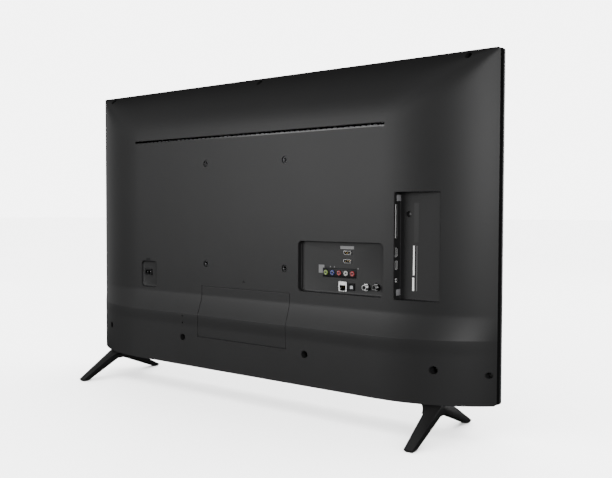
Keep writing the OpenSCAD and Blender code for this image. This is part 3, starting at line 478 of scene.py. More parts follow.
def surface(x, z):
    """y of the cover's outside."""
    bulge = bulge_at(z)
    run = HALF_W - FLAT_HALF
    r = arc_radius(run, bulge)
    u = np.clip(np.abs(x) - FLAT_HALF, 0.0, run)
    side = r - np.sqrt(r * r - u * u)
    r_top = arc_radius(TOP_RUN, PLATEAU)
    v = np.clip(z - TOP_START, 0.0, TOP_RUN)
    top = r_top - np.sqrt(r_top * r_top - v * v)
    a, b = np.sqrt(side / bulge), np.sqrt(top / PLATEAU)
    more = np.clip(np.maximum(a, b), 1e-9, 1.0)
    power = 2.0 / np.clip(1.0 - more, 0.004, 1.0)
    both = more * (1.0 + (np.minimum(a, b) / more) ** power) ** (1.0 / power)
    return RIM_Y + bulge * (1.0 - np.minimum(both, 1.0) ** 2)


def sheet(xs, zs):
    """The cover's outside over a grid."""
    return surface(xs[:, None], zs[None, :])


def slab(xs, zs, back, front, name="tool", material=None):
    """A closed solid between two sheets over a grid; front is a sheet or one flat plane."""
    nx, nz = len(xs), len(zs)

    def grid(i, j):
        return i * nz + j

    verts = [(xs[i], back[i, j], zs[j]) for i in range(nx) for j in range(nz)]
    faces = [[grid(i, j), grid(i + 1, j), grid(i + 1, j + 1), grid(i, j + 1)]
             for i in range(nx - 1) for j in range(nz - 1)]
    rim = ([(i, 0) for i in range(nx)] + [(nx - 1, j) for j in range(1, nz)]
           + [(i, nz - 1) for i in range(nx - 2, -1, -1)] + [(0, j) for j in range(nz - 2, 0, -1)])
    start = len(verts)
    if np.isscalar(front):
        verts += [(xs[i], front, zs[j]) for i, j in rim]
        low = list(range(start, start + len(rim)))
        faces.append(low)
    else:
        verts += [(xs[i], front[i, j], zs[j]) for i in range(nx) for j in range(nz)]
        faces += [[start + n for n in face[::-1]] for face in faces[: (nx - 1) * (nz - 1)]]
        low = [start + grid(i, j) for i, j in rim]
    for k in range(len(rim)):
        n = (k + 1) % len(rim)
        faces.append([grid(*rim[k]), grid(*rim[n]), low[n], low[k]])
    return build(name, verts, faces, material)


def crease_lines():
    return np.arange(LIP_LOW - 3.0, LIP_TOP + 4.01, 0.4)


def heights(step):
    """Grid lines up the cover, close together at the crease."""
    fine = crease_lines()
    below = np.linspace(COVER_LOW, fine[0], int((fine[0] - COVER_LOW) / step) + 1)
    above = np.linspace(fine[-1], COVER_TOP, int((COVER_TOP - fine[-1]) / step) + 1)
    return np.concatenate([below[:-1], fine, above[1:]])


def outer_form(step, name):
    """The cover as a full solid, with its round corners."""
    xs = np.linspace(-HALF_W, HALF_W, int(2 * HALF_W / step) + 1)
    zs = heights(step)
    form = slab(xs, zs, sheet(xs, zs), SEAM_Y, name)
    half_h = (COVER_TOP - COVER_LOW) / 2
    corners = rounded(2 * HALF_W, 2 * half_h, CORNER_R)
    return combine(form, prism(corners, (0.0, COVER_LOW + half_h), (SEAM_Y - OVER, TOP_Y)), "INTERSECT")


def inner_form(step):
    """The hollow: a wall's thickness inside the outer form, and lower towards the top edge."""
    lean_start, lean_run = 400.0, 200.0
    grow_x = HALF_W / (HALF_W - WALL)
    xs = np.linspace(-HALF_W + WALL, HALF_W - WALL, int(2 * HALF_W / step))
    zs = np.linspace(COVER_LOW + WALL, COVER_TOP - WALL, int((COVER_TOP - COVER_LOW) / step))
    lean = WALL * np.clip((zs - lean_start) / lean_run, 0, 1)
    return slab(xs, zs, sheet(xs * grow_x, zs + lean) - WALL, SEAM_Y - OVER)


def pocket(at, size, r, floor, top, round_floor=RECESS_ROUND):
    """A cutter with round corners and a rounded floor edge."""
    steps, least_r = 4, 0.6
    rings = []
    for i in range(steps + 1):
        a = math.radians(90.0 * i / steps)
        rings.append((round_floor * (1 - math.sin(a)), floor + round_floor * (1 - math.cos(a))))
    rings.append((0.0, top))
    made = []
    for inset, y in rings:
        outline = rounded(size[0] - 2 * inset, size[1] - 2 * inset, max(r - inset, least_r))
        made.append([(at[0] + u, y, at[1] + v) for u, v in outline])
    return loft(made)


# Sockets cut through the recess floors, as place and size
HDMI_AT = [(AV_X - 12.0, 299.0), (AV_X - 12.0, 284.0)]
HDMI_SIZE = (15.4, 6.4)
RCA_PITCH = 14.1
RCA_X = [AV_X + 5.5 + RCA_PITCH * (2 - i) for i in range(5)]
RCA_Z = 262.7
RCA_AT = ((RCA_X[0] + RCA_X[4]) / 2, RCA_Z)
RCA_BLOCK = (5 * RCA_PITCH, 16.0)
RCA_FACE = AV_FLOOR + 1.0
LAN_AT = (AV_X - 2.5, 239.5)
LAN_SIZE = (17.0, 17.0)
OPTICAL_AT = (AV_X - 20.5, 239.5)
OPTICAL_SIZE = (12.4, 12.0)
COAX_AT = [(AV_X - 51.5, 241.0), (AV_X - 71.5, 242.0)]
COAX_HOLE_R = 6.9
INLET_SOCKET = (INLET_X + 6.0, INLET_Z + 3.5)
INLET_SOCKET_SIZE = (22.0, 13.0)
SOCKET_GAP = 0.4

# Heights of the side sockets, and their openings as height, length and width
CARD_Z = 355.0
SIDE_VIDEO_Z = 303.0
USB_Z = 281.5
AUDIO_Z = 256.0
SIDE_CUTS = [(CARD_Z, 58.6, 9.4), (SIDE_VIDEO_Z, 18.0, 8.9), (USB_Z, 17.2, 9.6), (AUDIO_Z, 7.6, 7.6)]

# Openings in the underside: slots at the speakers, holes for the feet and the button
SPEAKER_X = (227.0, 333.0)
SPEAKER_SLOTS = 9
SLOT_START = -4.6
SLOT_PITCH = 3.3
SLOT_WIDE = 1.8
FOOT_WIDE = 14.8
FOOT_Y = (-5.0, 9.8)
BUTTON_X = (-6.3, 6.3)
BUTTON_Y = (-37.8, -31.2)


def add_walls(cover, blank):
    """Walls of the recesses, of the access cover's bed and of the screw wells."""
    for at, size, floor in ((AV_AT, AV_SIZE, AV_FLOOR), (INLET_AT, INLET_SIZE, INLET_FLOOR)):
        wall = pocket(at, grown(size, WALL), RECESS_R + WALL, floor - WALL, PLATEAU_Y - SKIN)
        combine(cover, wall, "UNION")
    xs = np.linspace(SIDE_END - WALL, SIDE_X + WALL, 42)
    zs = np.linspace(SIDE_LOW - WALL, SIDE_HIGH + WALL, 30)
    combine(cover, slab(xs, zs, sheet(xs, zs) - SKIN, SIDE_FLOOR - WALL), "UNION")
    xs = np.linspace(-ACCESS_HALF - WALL, ACCESS_HALF + WALL, 30)
    zs = np.linspace(ACCESS_LOW - WALL, ACCESS_HIGH + WALL, 120)
    bed = sheet(xs, zs)
    combine(cover, slab(xs, zs, bed - SKIN, bed - ACCESS_T - ACCESS_SEAT - WALL), "UNION")
    for places, r, seat in WELLS:
        wall = rods(places, r + WELL_WALL, (seat - WELL_FLOOR, TOP_Y))
        combine(wall, blank, "INTERSECT", keep=True)
        combine(cover, wall, "UNION")


def cut_recesses(cover):
    """Recesses, the bed of the access cover, the wells and the round holes."""
    combine(cover, pocket(AV_AT, AV_SIZE, RECESS_R, AV_FLOOR, TOP_Y))
    combine(cover, pocket(INLET_AT, INLET_SIZE, RECESS_R, INLET_FLOOR, TOP_Y, INLET_ROUND))
    combine(cover, pocket(SIDE_AT, SIDE_SIZE, SIDE_R, SIDE_FLOOR, TOP_Y, SIDE_ROUND))
    xs = np.linspace(-ACCESS_HALF, ACCESS_HALF, 30)
    zs = np.linspace(ACCESS_LOW, ACCESS_HIGH, 180)
    bed = sheet(xs, zs)
    combine(cover, slab(xs, zs, bed + OVER, bed - ACCESS_T - ACCESS_SEAT))
    for places, r, seat in WELLS:
        combine(cover, rods(places, r, (seat, TOP_Y)))
        combine(cover, rods(places, SCREW_HOLE_R, (seat - 2 * WELL_FLOOR, seat + PAST)))
    combine(cover, rods(VESA, POST_HOLE_R, (PLATEAU_Y - POST_HOLE_DEEP, TOP_Y)))
    combine(cover, rods(TIE_HOLES, SCREW_HOLE_R, (TIE_FLOOR, TOP_Y)))


def cut_sockets(cover):
    """Openings for the sockets in the recess floors and in the side recess's inner wall."""
    def through(outline, at, floor):
        return prism(outline, at, (floor - WALL - PAST, floor + PAST))

    def opening(size):
        return rounded(*grown(size, SOCKET_GAP), 0.5, 2)

    blocks = [(at, HDMI_SIZE) for at in HDMI_AT]
    blocks += [(RCA_AT, RCA_BLOCK), (LAN_AT, LAN_SIZE), (OPTICAL_AT, OPTICAL_SIZE)]
    cuts = [through(opening(size), at, AV_FLOOR) for at, size in blocks]
    cuts += [through(circle(COAX_HOLE_R), at, AV_FLOOR) for at in COAX_AT]
    cuts.append(through(opening(INLET_SOCKET_SIZE), INLET_SOCKET, INLET_FLOOR))
    for z, tall, deep in SIDE_CUTS:
        cuts.append(box((SIDE_X - PAST, SIDE_X + WALL + PAST), span(SIDE_PORT_Y, deep), span(z, tall)))
    combine(cover, group(cuts))


def cut_slit(cover):
    """The vent slit: a boss inside, the groove, the holes between the fins and the sloped lip."""
    boss_x = (-SLIT_HALF - SLIT_WALL, SLIT_HALF + SLIT_WALL)
    boss_z = (SLIT_LOW - SLIT_WALL, SLIT_HIGH + SLIT_ROOF)
    combine(cover, box(boss_x, (PLATEAU_Y - SLIT_DEPTH, PLATEAU_Y - SKIN), boss_z), "UNION")
    combine(cover, box((-SLIT_HALF, SLIT_HALF), (PLATEAU_Y - SLIT_FINS, TOP_Y), (SLIT_LOW, SLIT_HIGH)))
    pitch = 2 * SLIT_HALF / SLIT_HOLES
    hole_y = (PLATEAU_Y - SLIT_DEPTH - PAST, PLATEAU_Y - SLIT_FINS + FIN_OVER)
    holes = []
    for i in range(SLIT_HOLES):
        hole_x = (-SLIT_HALF + pitch * i + FIN_HALF, -SLIT_HALF + pitch * (i + 1) - FIN_HALF)
        holes.append(box(hole_x, hole_y, (SLIT_LOW + FIN_EDGE, SLIT_HIGH - FIN_EDGE)))
    combine(cover, group(holes))
    low, high = SLOPE_Z
    slope = [(PLATEAU_Y + SLOPE_SINK[1], high), (PLATEAU_Y + PAST, high), (PLATEAU_Y + PAST, low),
             (PLATEAU_Y + SLOPE_SINK[0], low)]
    combine(cover, loft([[(x, y, z) for y, z in slope] for x in (-SLIT_HALF, SLIT_HALF)]))


def cut_below(cover):
    """Slots at the speakers, and holes for the feet and the button."""
    z = (COVER_LOW - PAST, COVER_LOW + WALL + PAST)
    slots = []
    for s in (-1, 1):
        slot_x = sorted(s * x for x in SPEAKER_X)
        for i in range(1, SPEAKER_SLOTS + 1):
            slots.append(box(slot_x, span(SLOT_START + SLOT_PITCH * i, SLOT_WIDE), z))
        slots.append(box(span(s * FOOT_X, FOOT_WIDE), FOOT_Y, z))
    slots.append(box(BUTTON_X, BUTTON_Y, z))
    combine(cover, group(slots))


def bevel_rims(cover, blank):
    """A fine bevel along every rim: wider openings that reach in from the outside by the bevel alone."""
    recess_y, well_y, flat_y = (-20.0, TOP_Y), (-36.0, TOP_Y), (20.0, TOP_Y)
    recesses = ((AV_AT, AV_SIZE, RECESS_R), (INLET_AT, INLET_SIZE, RECESS_R), (SIDE_AT, SIDE_SIZE, SIDE_R))
    rims = [prism(rounded(*grown(size, RIM_BEVEL), r + RIM_BEVEL), at, recess_y) for at, size, r in recesses]
    for places, r, y in ((LOW_WELLS + FOOT_WELLS, LOW_WELL_R, well_y), (EDGE_WELLS, WELL_R, well_y),
                         (VESA, POST_HOLE_R, flat_y)):
        rims += [prism(circle(r + RIM_BEVEL), at, y) for at in places]
    half = RIM_BEVEL / 2
    rims.append(box((-ACCESS_HALF - half, ACCESS_HALF + half), flat_y, (ACCESS_LOW - half, ACCESS_HIGH + half)))
    rim = group(rims)
    for vertex in blank.data.vertices:
        vertex.co.y -= RIM_BEVEL * MM
    combine(rim, blank)
    combine(cover, rim)


def paint_cover(cover):
    """Materials by each face's place: a glossier copy with a painted highlight on the slit lip, near black painted
    shade on the side wall and inside the slit, and a darker painted shade on the side recess floor.
    """
    # Material indices: painted highlight on the slit lip, painted shade on the side wall, inside the slit and on
    # the side recess floor
    lip, dark, recess = 1, 2, 3
    cover.data.materials.clear()
    for material in (COVER, LIP_GLOSS_AND_HIGHLIGHT, RIM_AND_SLIT_PAINTED_SHADE, RECESS_PAINTED_SHADE):
        cover.data.materials.append(material)
    slit_y = PLATEAU_Y - 0.8
    for face in cover.data.polygons:
        x, y, z = face.center / MM
        # Slit lip: glossier, with a painted highlight
        if abs(x) < SLIT_HALF and y > slit_y and SLOPE_Z[0] < z < SLOPE_Z[1]:
            face.material_index = lip
        # Side wall of the cover: painted shade
        elif y < RIM_Y + 0.5 and abs(x) > HALF_W - CORNER_R and abs(face.normal.x) > 0.7:
            face.material_index = dark
        # Side recess floor: painted shade
        elif SIDE_END < x < SIDE_X and SIDE_LOW < z < SIDE_HIGH and abs(y - SIDE_FLOOR) < 0.3:
            face.material_index = recess
        # Inside of the slit: painted shade
        elif abs(x) < SLIT_HALF + 1.0 and SLIT_LOW - 0.1 < z < SLIT_HIGH + 0.1 and y < slit_y:
            face.material_index = dark


def rear_cover():
    cover = outer_form(step=3.0, name="rear_cover_shell")
    blank = cover.copy()
    blank.data = cover.data.copy()
    bpy.context.scene.collection.objects.link(blank)
    combine(cover, inner_form(step=8.0))
    add_walls(cover, blank)
    cut_recesses(cover)
    cut_sockets(cover)
    cut_slit(cover)
    cut_below(cover)
    bevel_rims(cover, blank)
    paint_cover(cover)
    shade(cover)
    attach(cover, "set")
    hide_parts("rear_cover")


def access_cover():
    half, low, high = ACCESS_HALF - ACCESS_GAP, ACCESS_LOW + ACCESS_GAP, ACCESS_HIGH - ACCESS_GAP
    edge = np.array([0.0, 0.15, 0.35, ACCESS_ROUND])
    inner = 1.5
    fine = crease_lines()
    xs = np.concatenate([-half + edge, np.linspace(-half + inner, half - inner, 60), half - edge[::-1]])
    zs = np.concatenate([low + edge, np.linspace(low + inner, fine[0] - 1, 16), fine,
                         np.linspace(fine[-1] + 1, high - inner, 24), high - edge[::-1]])
    near = np.minimum(np.minimum(xs[:, None] + half, half - xs[:, None]),
                      np.minimum(zs[None, :] - low, high - zs[None, :]))
    short = np.clip(ACCESS_ROUND - near, 0.0, ACCESS_ROUND)
    round_off = ACCESS_ROUND - np.sqrt(np.clip(ACCESS_ROUND ** 2 - short ** 2, 0.0, None))
    back = sheet(xs, zs)
    panel = slab(xs, zs, back - round_off, back - ACCESS_T, "access_panel", ACCESS)
    pegs = []
    for s in (-1, 1):
        for z, y in ((low + PEG_IN, PEG_LOW_Y), (high - PEG_IN, PEG_HIGH_Y)):
            peg_y = (y + PEG_REACH[0], y + PEG_REACH[1])
            pegs.append(box(span(s * PEG_X, PEG_SIZE[0]), peg_y, span(z, PEG_SIZE[1])))
    combine(panel, group(pegs), "UNION")
    shade(panel)
    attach(panel, "access_cover")
    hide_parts("access_cover")


rear_cover()
access_cover()


# CAD nodes that show, and the angles that tell flat, sharp and curved edges apart
FLAT_ANGLE = math.radians(0.4)
SHARP_ANGLE = math.radians(30.0)
PIECE_ANGLE = 35.0


def dress(node, material, bevel, slot):
    """A copy of a node with its sharp edges rounded off."""
    source = nodes[node]
    form = bmesh.new()
    form.from_mesh(source.data)
    bmesh.ops.remove_doubles(form, verts=form.verts[:], dist=1e-6)
    bmesh.ops.dissolve_limit(form, angle_limit=FLAT_ANGLE, verts=form.verts[:], edges=form.edges[:])
    sharp = [e for e in form.edges if len(e.link_faces) == 2 and e.calc_face_angle() > SHARP_ANGLE]
    bmesh.ops.bevel(form, geom=sharp, offset=bevel * MM, offset_type="OFFSET", segments=2, profile=0.5,
                    affect="EDGES", clamp_overlap=True)
    mesh = bpy.data.meshes.new(node + "_dressed")
    form.to_mesh(mesh)
    form.free()
    obj = bpy.data.objects.new(node + "_dressed", mesh)
    bpy.context.scene.collection.objects.link(obj)
    mesh.materials.append(material)
    shade(obj, PIECE_ANGLE)
    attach(obj, source["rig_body"])
    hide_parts(node)


DRESSED = [
    ("front_bezel", BEZEL, 0.5, "bezel"), ("left_foot", FOOT, 1.2, "foot"), ("right_foot", FOOT, 1.2, "foot"),
    ("foot_pads", RUBBER, 0.4, "pads"), ("power_button", DARK, 0.4, "button"), ("ir_window", WINDOW, 0.2, "ir"),
    ("grounding_pads", CLOTH, 0.4, "gasket"), ("optical_socket", BLACK, 0.25, "socket_black"),
    ("optical_shutter", BLACK, 0.12, "shutter"), ("card_slot", CARD, 0.3, "card"),
    ("rca_block_body", BLACK, 0.4, "socket_black"), ("lcd_panel", SCREEN, 0.2, "screen"),
]
for item in DRESSED:
    dress(*item)


# Sockets: each is built in its own plane, with u across, v up and w out of the recess
def behind(at, face):
    return lambda u, v, w: (at[0] + u, face + w, at[1] + v)


def beside(z):
    return lambda u, v, w: (SIDE_X - w, SIDE_PORT_Y + v, z + u)


def solid(outline, depths, place):
    return loft([[place(u, v, w) for u, v in outline] for w in depths])


def brick(u, v, w, place):
    return solid([(u[0], v[0]), (u[1], v[0]), (u[1], v[1]), (u[0], v[1])], w, place)


def tube(outer, inner, depths, place):
    rings = [(outer, depths[0]), (outer, depths[1]), (inner, depths[1]), (inner, depths[0])]
    return loft([[place(u, v, w) for u, v in outline] for outline, w in rings], loop=True)


def turned(profile, place, count=36, loop=False):
    return loft([[place(u, v, w) for u, v in circle(r, count)] for r, w in profile], loop)


def piece(name, parts, material, slot, *stands_for):
    obj = group(parts, name, material)
    shade(obj, PIECE_ANGLE)
    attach(obj, "set")
    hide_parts(*stands_for)


def depth_of(node, face):
    """How far a node reaches in from a face that looks to the rear."""
    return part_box(node)[0].y / MM - face


AV_FACE = AV_FLOOR + 2.0
SIDE_SINK = -0.4
SIDE_BACK = -15.6
# Black linings just inside the socket mouths paint the shade there: how far in they start, and their gap to the
# mouth
SHADE_LINER_SINK = 0.9
SHADE_LINER_GAP = 0.04
HDMI_SHELL = [(-7.7, 3.2), (7.7, 3.2), (7.7, -0.7), (6.0, -3.2), (-6.0, -3.2), (-7.7, -0.7)]
HDMI_MOUTH = [(-7.2, 2.7), (7.2, 2.7), (7.2, -0.5), (5.8, -2.7), (-5.8, -2.7), (-7.2, -0.5)]
HDMI_DEEP = 11.0
HDMI_FLOOR = 10.6
HDMI_CONTACTS = 10


def shrunk(outline, by):
    """An outline drawn in towards its middle by about the same distance all round."""
    reach_u, reach_v = max(u for u, _ in outline), max(v for _, v in outline)
    return [(u * (1.0 - by / reach_u), v * (1.0 - by / reach_v)) for u, v in outline]


def video_parts(place, face, back):
    """Shell, tongue and contacts of one video socket."""
    low, floor, tip = face - HDMI_DEEP, face - HDMI_FLOOR, face - 2.4
    shell = [tube(HDMI_SHELL, HDMI_MOUTH, (low, face), place), solid(HDMI_SHELL, (back, floor), place)]
    tongue = [brick((-5.4, 5.4), (-0.3, 1.0), (low, face - 1.8), place)]
    contacts = []
    for i in range(HDMI_CONTACTS):
        u = -4.5 + i
        contacts.append(brick((u - 0.2, u + 0.2), (0.9, 1.12), (floor, tip), place))
        contacts.append(brick((u + 0.3, u + 0.7), (-0.42, -0.2), (floor, tip), place))
    return shell, tongue, contacts


def video_sockets():
    beside_place = beside(SIDE_VIDEO_Z)
    rear = [video_parts(behind(at, AV_FACE), 0.0, depth_of("hdmi_sockets", AV_FACE)) for at in HDMI_AT]
    side = video_parts(beside_place, SIDE_SINK, SIDE_BACK)
    piece("hdmi_shells", [part for item in rear for part in item[0]], GREY_NICKEL, "socket_metal", "hdmi_sockets")
    piece("side_hdmi_shell", side[0], DULL_TIN, "socket_metal", "side_hdmi_socket")
    piece("hdmi_tongues", [part for item in rear + [side] for part in item[1]], BLACK, "socket_black")
    spots = [(behind(at, AV_FACE), 0.0) for at in HDMI_AT] + [(beside_place, SIDE_SINK)]
    # Black linings inside the three mouths: painted shade
    outer, inner = shrunk(HDMI_MOUTH, SHADE_LINER_GAP), shrunk(HDMI_MOUTH, 0.35)
    shade_liners = [tube(outer, inner, (face - 10.5, face - SHADE_LINER_SINK), place) for place, face in spots]
    piece("hdmi_painted_shade_liners", shade_liners, BLACK, "socket_black")
    piece("hdmi_contacts", [part for item in rear + [side] for part in item[2]], GOLD, "brass")
    outer, inner = rounded(17.2, 8.1, 0.5, 2), rounded(15.5, 6.5, 0.4, 2)
    surround = tube(outer, inner, (SIDE_BACK, SIDE_SINK - 0.4), beside_place)
    piece("side_hdmi_surround", [surround], BLACK, "socket_black")


def usb_socket():
    place = beside(USB_Z)
    outer, inner = rounded(14.4, 6.8, 0.7, 3), rounded(13.4, 5.8, 0.4, 3)
    shell = [tube(outer, inner, (SIDE_BACK, SIDE_SINK), place), solid(outer, (-15.9, -14.0), place)]
    for u in (-3.2, 3.2):
        shell.append(brick(span(u, 2.0), (2.1, 2.55), (-8.0, -2.0), place))
    piece("usb_shell", shell, DULL_TIN, "socket_metal", "usb_socket")
    # A black lining inside the mouth: painted shade
    shade_liner = tube(shrunk(inner, SHADE_LINER_GAP), shrunk(inner, 0.3), (-13.8, SIDE_SINK - SHADE_LINER_SINK), place)
    piece("usb_painted_shade_liner", [shade_liner], BLACK, "socket_black")
    piece("usb_tongue", [brick((-5.7, 5.7), (0.2, 2.0), (-14.5, -2.0), place)], BLACK, "socket_black")
    pins = [brick(span(u, 1.0), (0.02, 0.3), (-13.5, -3.0), place) for u in (-3.5, -1.0, 1.0, 3.5)]
    piece("usb_contacts", pins, GOLD, "brass")
    surround = rounded(16.4, 8.8, 0.5, 3)
    piece("usb_surround", [tube(surround, outer, (SIDE_BACK, SIDE_SINK - 0.4), place)], BLACK, "socket_black")


def audio_jack():
    place = beside(AUDIO_Z)
    barrel = [(3.4, SIDE_BACK), (3.4, -0.8), (3.0, SIDE_SINK), (2.2, SIDE_SINK), (1.8, -0.9), (1.8, -14.0),
              (0.4, -14.0), (0.4, SIDE_BACK)]
    piece("audio_barrel", [turned(barrel, place, loop=True)], BLACK, "socket_black", "audio_jack")
    sleeve = [(1.8, -6.0), (1.8, -2.0), (1.55, -2.2), (1.55, -6.0)]
    piece("audio_sleeve", [turned(sleeve, place, loop=True)], NICKEL, "socket_metal")
    rim = [(3.35, -0.75), (3.0, SIDE_SINK + 0.1), (2.3, SIDE_SINK + 0.1), (2.25, -0.7)]
    piece("audio_rim", [turned(rim, place, loop=True)], TIN, "socket_metal")


def phono_sockets():
    places = [behind((x, RCA_Z), RCA_FACE) for x in RCA_X]
    barrel = [(3.5, 0.0), (3.5, 2.2), (3.35, 2.5), (3.1, 2.5), (2.95, 2.2), (2.95, 0.6), (1.0, 0.6), (1.0, 0.0)]
    barrels = [turned(barrel, at, loop=True) for at in places]
    piece("phono_barrels", barrels, GREY_NICKEL, "socket_metal", "rca_tubes")
    flange = [(5.0, 0.0), (5.0, 0.9), (4.8, 1.1), (4.35, 1.1), (4.25, 0.0)]
    piece("phono_flanges", [turned(flange, at, loop=True) for at in places], BLACK, "socket_black")
    clip = [(1.7, 0.7), (1.7, 1.4), (1.45, 1.6), (1.25, 1.3), (1.25, 0.7)]
    piece("phono_clips", [turned(clip, at, 20, loop=True) for at in places], BLACK_ZINC, "socket_metal")
    ring = [(4.2, 0.0), (4.2, 1.2), (4.05, 1.5), (3.7, 1.5), (3.55, 1.2), (3.55, 0.0)]
    core = [(2.9, 0.65), (2.9, 1.6), (2.75, 1.9), (2.4, 1.9), (2.25, 1.6), (2.25, 0.65)]
    for colour, index, node in (("green", [0], "rca_ring_green"), ("blue", [1], "rca_ring_blue"),
                                ("red", [2, 4], "rca_rings_red"), ("white", [3], "rca_ring_white")):
        parts = [turned(profile, places[i], loop=True) for i in index for profile in (ring, core)]
        piece("phono_" + colour, parts, RINGS[colour], "rca_" + colour, node)


def network_jack():
    place = behind(LAN_AT, AV_FACE)
    back = depth_of("network_jack", AV_FACE)
    mouth = [(-6.3, 2.4), (6.3, 2.4), (6.3, -6.6), (4.4, -6.6), (4.4, -7.9), (-4.4, -7.9), (-4.4, -6.6),
             (-6.3, -6.6)]
    shield = solid(rounded(LAN_SIZE[0], LAN_SIZE[1], 0.6, 3), (back, -0.3, 0.0), place)
    combine(shield, solid(mouth, (-12.0, 1.0), place))
    tabs = [brick((s * 6.0 - 0.35, s * 6.0 + 0.35), (-5.5, -1.5), (-7.0, -0.6), place) for s in (-1, 1)]
    piece("network_shield", [shield] + tabs, NICKEL, "socket_metal", "network_jack")
    inner = [(u * 0.985, v + 0.06) for u, v in mouth]
    insert = solid(inner, (-11.9, -0.8), place)
    combine(insert, solid([(u * 0.93, v * 0.93 - 0.2) for u, v in mouth], (-11.0, 1.0), place))
    piece("network_insert", [insert], BLACK, "socket_black")
    side = [(-10.8, 1.4), (-10.8, 1.0), (-3.0, -2.6), (-2.6, -2.4)]
    pins = []
    for i in range(8):
        u = -3.57 + 1.02 * i
        pins.append(loft([[place(edge, v, w) for w, v in side] for edge in span(u, 0.4)]))
    piece("network_contacts", pins, GOLD, "brass")


def aerial_sockets():
    nut = circle(6.5, 6)
    worn = [(u * 0.94, v * 0.94) for u, v in nut]
    thread = [(4.2, 0.0), (4.2, 3.0)]
    w = 3.2
    while w < 9.2:
        thread += [(4.7, w), (4.7, w + 0.2), (4.3, w + 0.45), (4.3, w + 0.6)]
        w += 0.8
    thread += [(4.5, 9.6), (4.2, 10.0), (3.6, 10.0), (3.4, 9.7), (3.4, 0.0)]
    core = [(3.38, 0.2), (3.38, 8.8), (1.4, 8.8), (0.6, 8.2), (0.6, 0.2)]
    for name, node, at, metal in (("antenna", "antenna_socket", COAX_AT[0], NICKEL),
                                  ("satellite", "satellite_socket", COAX_AT[1], DARK_NICKEL)):
        place = behind(at, AV_FLOOR)
        base = [solid(nut, (depth_of(node, AV_FLOOR), 2.7), place), solid(worn, (2.5, 3.0), place)]
        piece(name + "_barrel", base + [turned(thread, place, 40, loop=True)], metal, "socket_metal", node)
        piece(name + "_insulator", [turned(core, place, loop=True)], BLACK, "socket_black")


def mains_inlet():
    face = INLET_FLOOR + 2.0
    place = behind(INLET_SOCKET, face)
    outline = rounded(INLET_SOCKET_SIZE[0], INLET_SOCKET_SIZE[1], 2.0, 4)
    body = solid(outline, (depth_of("power_inlet", face), -0.4, 0.0), place)
    for s in (-1, 1):
        combine(body, solid([(u + s * 3.7, v) for u, v in circle(4.3)], (-12.0, 1.0), place))
    combine(body, brick((-3.7, 3.7), (-2.6, 2.6), (-12.0, 1.0), place))
    piece("mains_inlet", [body], BLACK, "socket_black", "power_inlet")
    pin = [(1.2, -12.5), (1.2, -3.2), (1.05, -2.6), (0.7, -2.2), (0.2, -2.0)]
    spots = [(INLET_SOCKET[0] + s * 4.3, INLET_SOCKET[1]) for s in (-1, 1)]
    piece("mains_pins", [turned(pin, behind(at, face), 20) for at in spots], NICKEL, "socket_metal")


# Screws: half the width and the reach of the cross, the head's profile in parts of its radius, the thread's root
ARM, REACH = 0.45, 2.4
CROSS = [(ARM, ARM), (REACH, ARM), (REACH, -ARM), (ARM, -ARM), (ARM, -REACH), (-ARM, -REACH), (-ARM, -ARM),
         (-REACH, -ARM), (-REACH, ARM), (-ARM, ARM), (-ARM, REACH), (ARM, REACH)]
HEAD = [(1.0, 0.0), (1.0, 1.1), (0.94, 1.8), (0.74, 2.3), (0.4, 2.55)]
HEAD_TOP = (0.05, 2.6)
ROOT = 0.82


def screws(name, node, groups):
    """Pan heads with a cross recess, each group as places, seat, head radius, shank radius and length."""
    parts = []
    for places, seat, head_r, shank_r, long in groups:
        for at in places:
            place = behind(at, seat)
            head = turned([(head_r * share, w) for share, w in HEAD] + [HEAD_TOP], place, 28)
            combine(head, solid(CROSS, (1.2, 3.0), place))
            thread = []
            for i in range(int(long)):
                thread += [(shank_r, -long + i), (shank_r, -long + i + 0.25), (shank_r * ROOT, -long + i + 0.6)]
            parts += [head, turned(thread + [(shank_r * ROOT, 0.3)], place, 16)]
    piece(name, parts, BLACK_ZINC, "dark_screws", node)


def wall_posts():
    """Flanged posts with a threaded bore."""
    face = PLATEAU_Y - 1.5
    low = depth_of("vesa_posts", face)
    profile = [(11.0, low), (11.0, low + 2.0), (5.5, low + 2.0), (5.5, -0.6), (4.9, 0.0), (3.9, 0.0), (3.1, -0.8)]
    for i in range(16):
        profile += [(2.75, -1.2 - i), (2.75, -1.4 - i), (3.0, -1.7 - i), (3.0, -1.9 - i)]
    profile += [(2.9, -18.0), (0.3, -18.0), (0.3, low)]
    posts = [turned(profile, behind(at, face), 40, loop=True) for at in VESA]
    piece("wall_posts", posts, POST, "steel", "vesa_posts")


PRINT = (-0.05, 0.12)


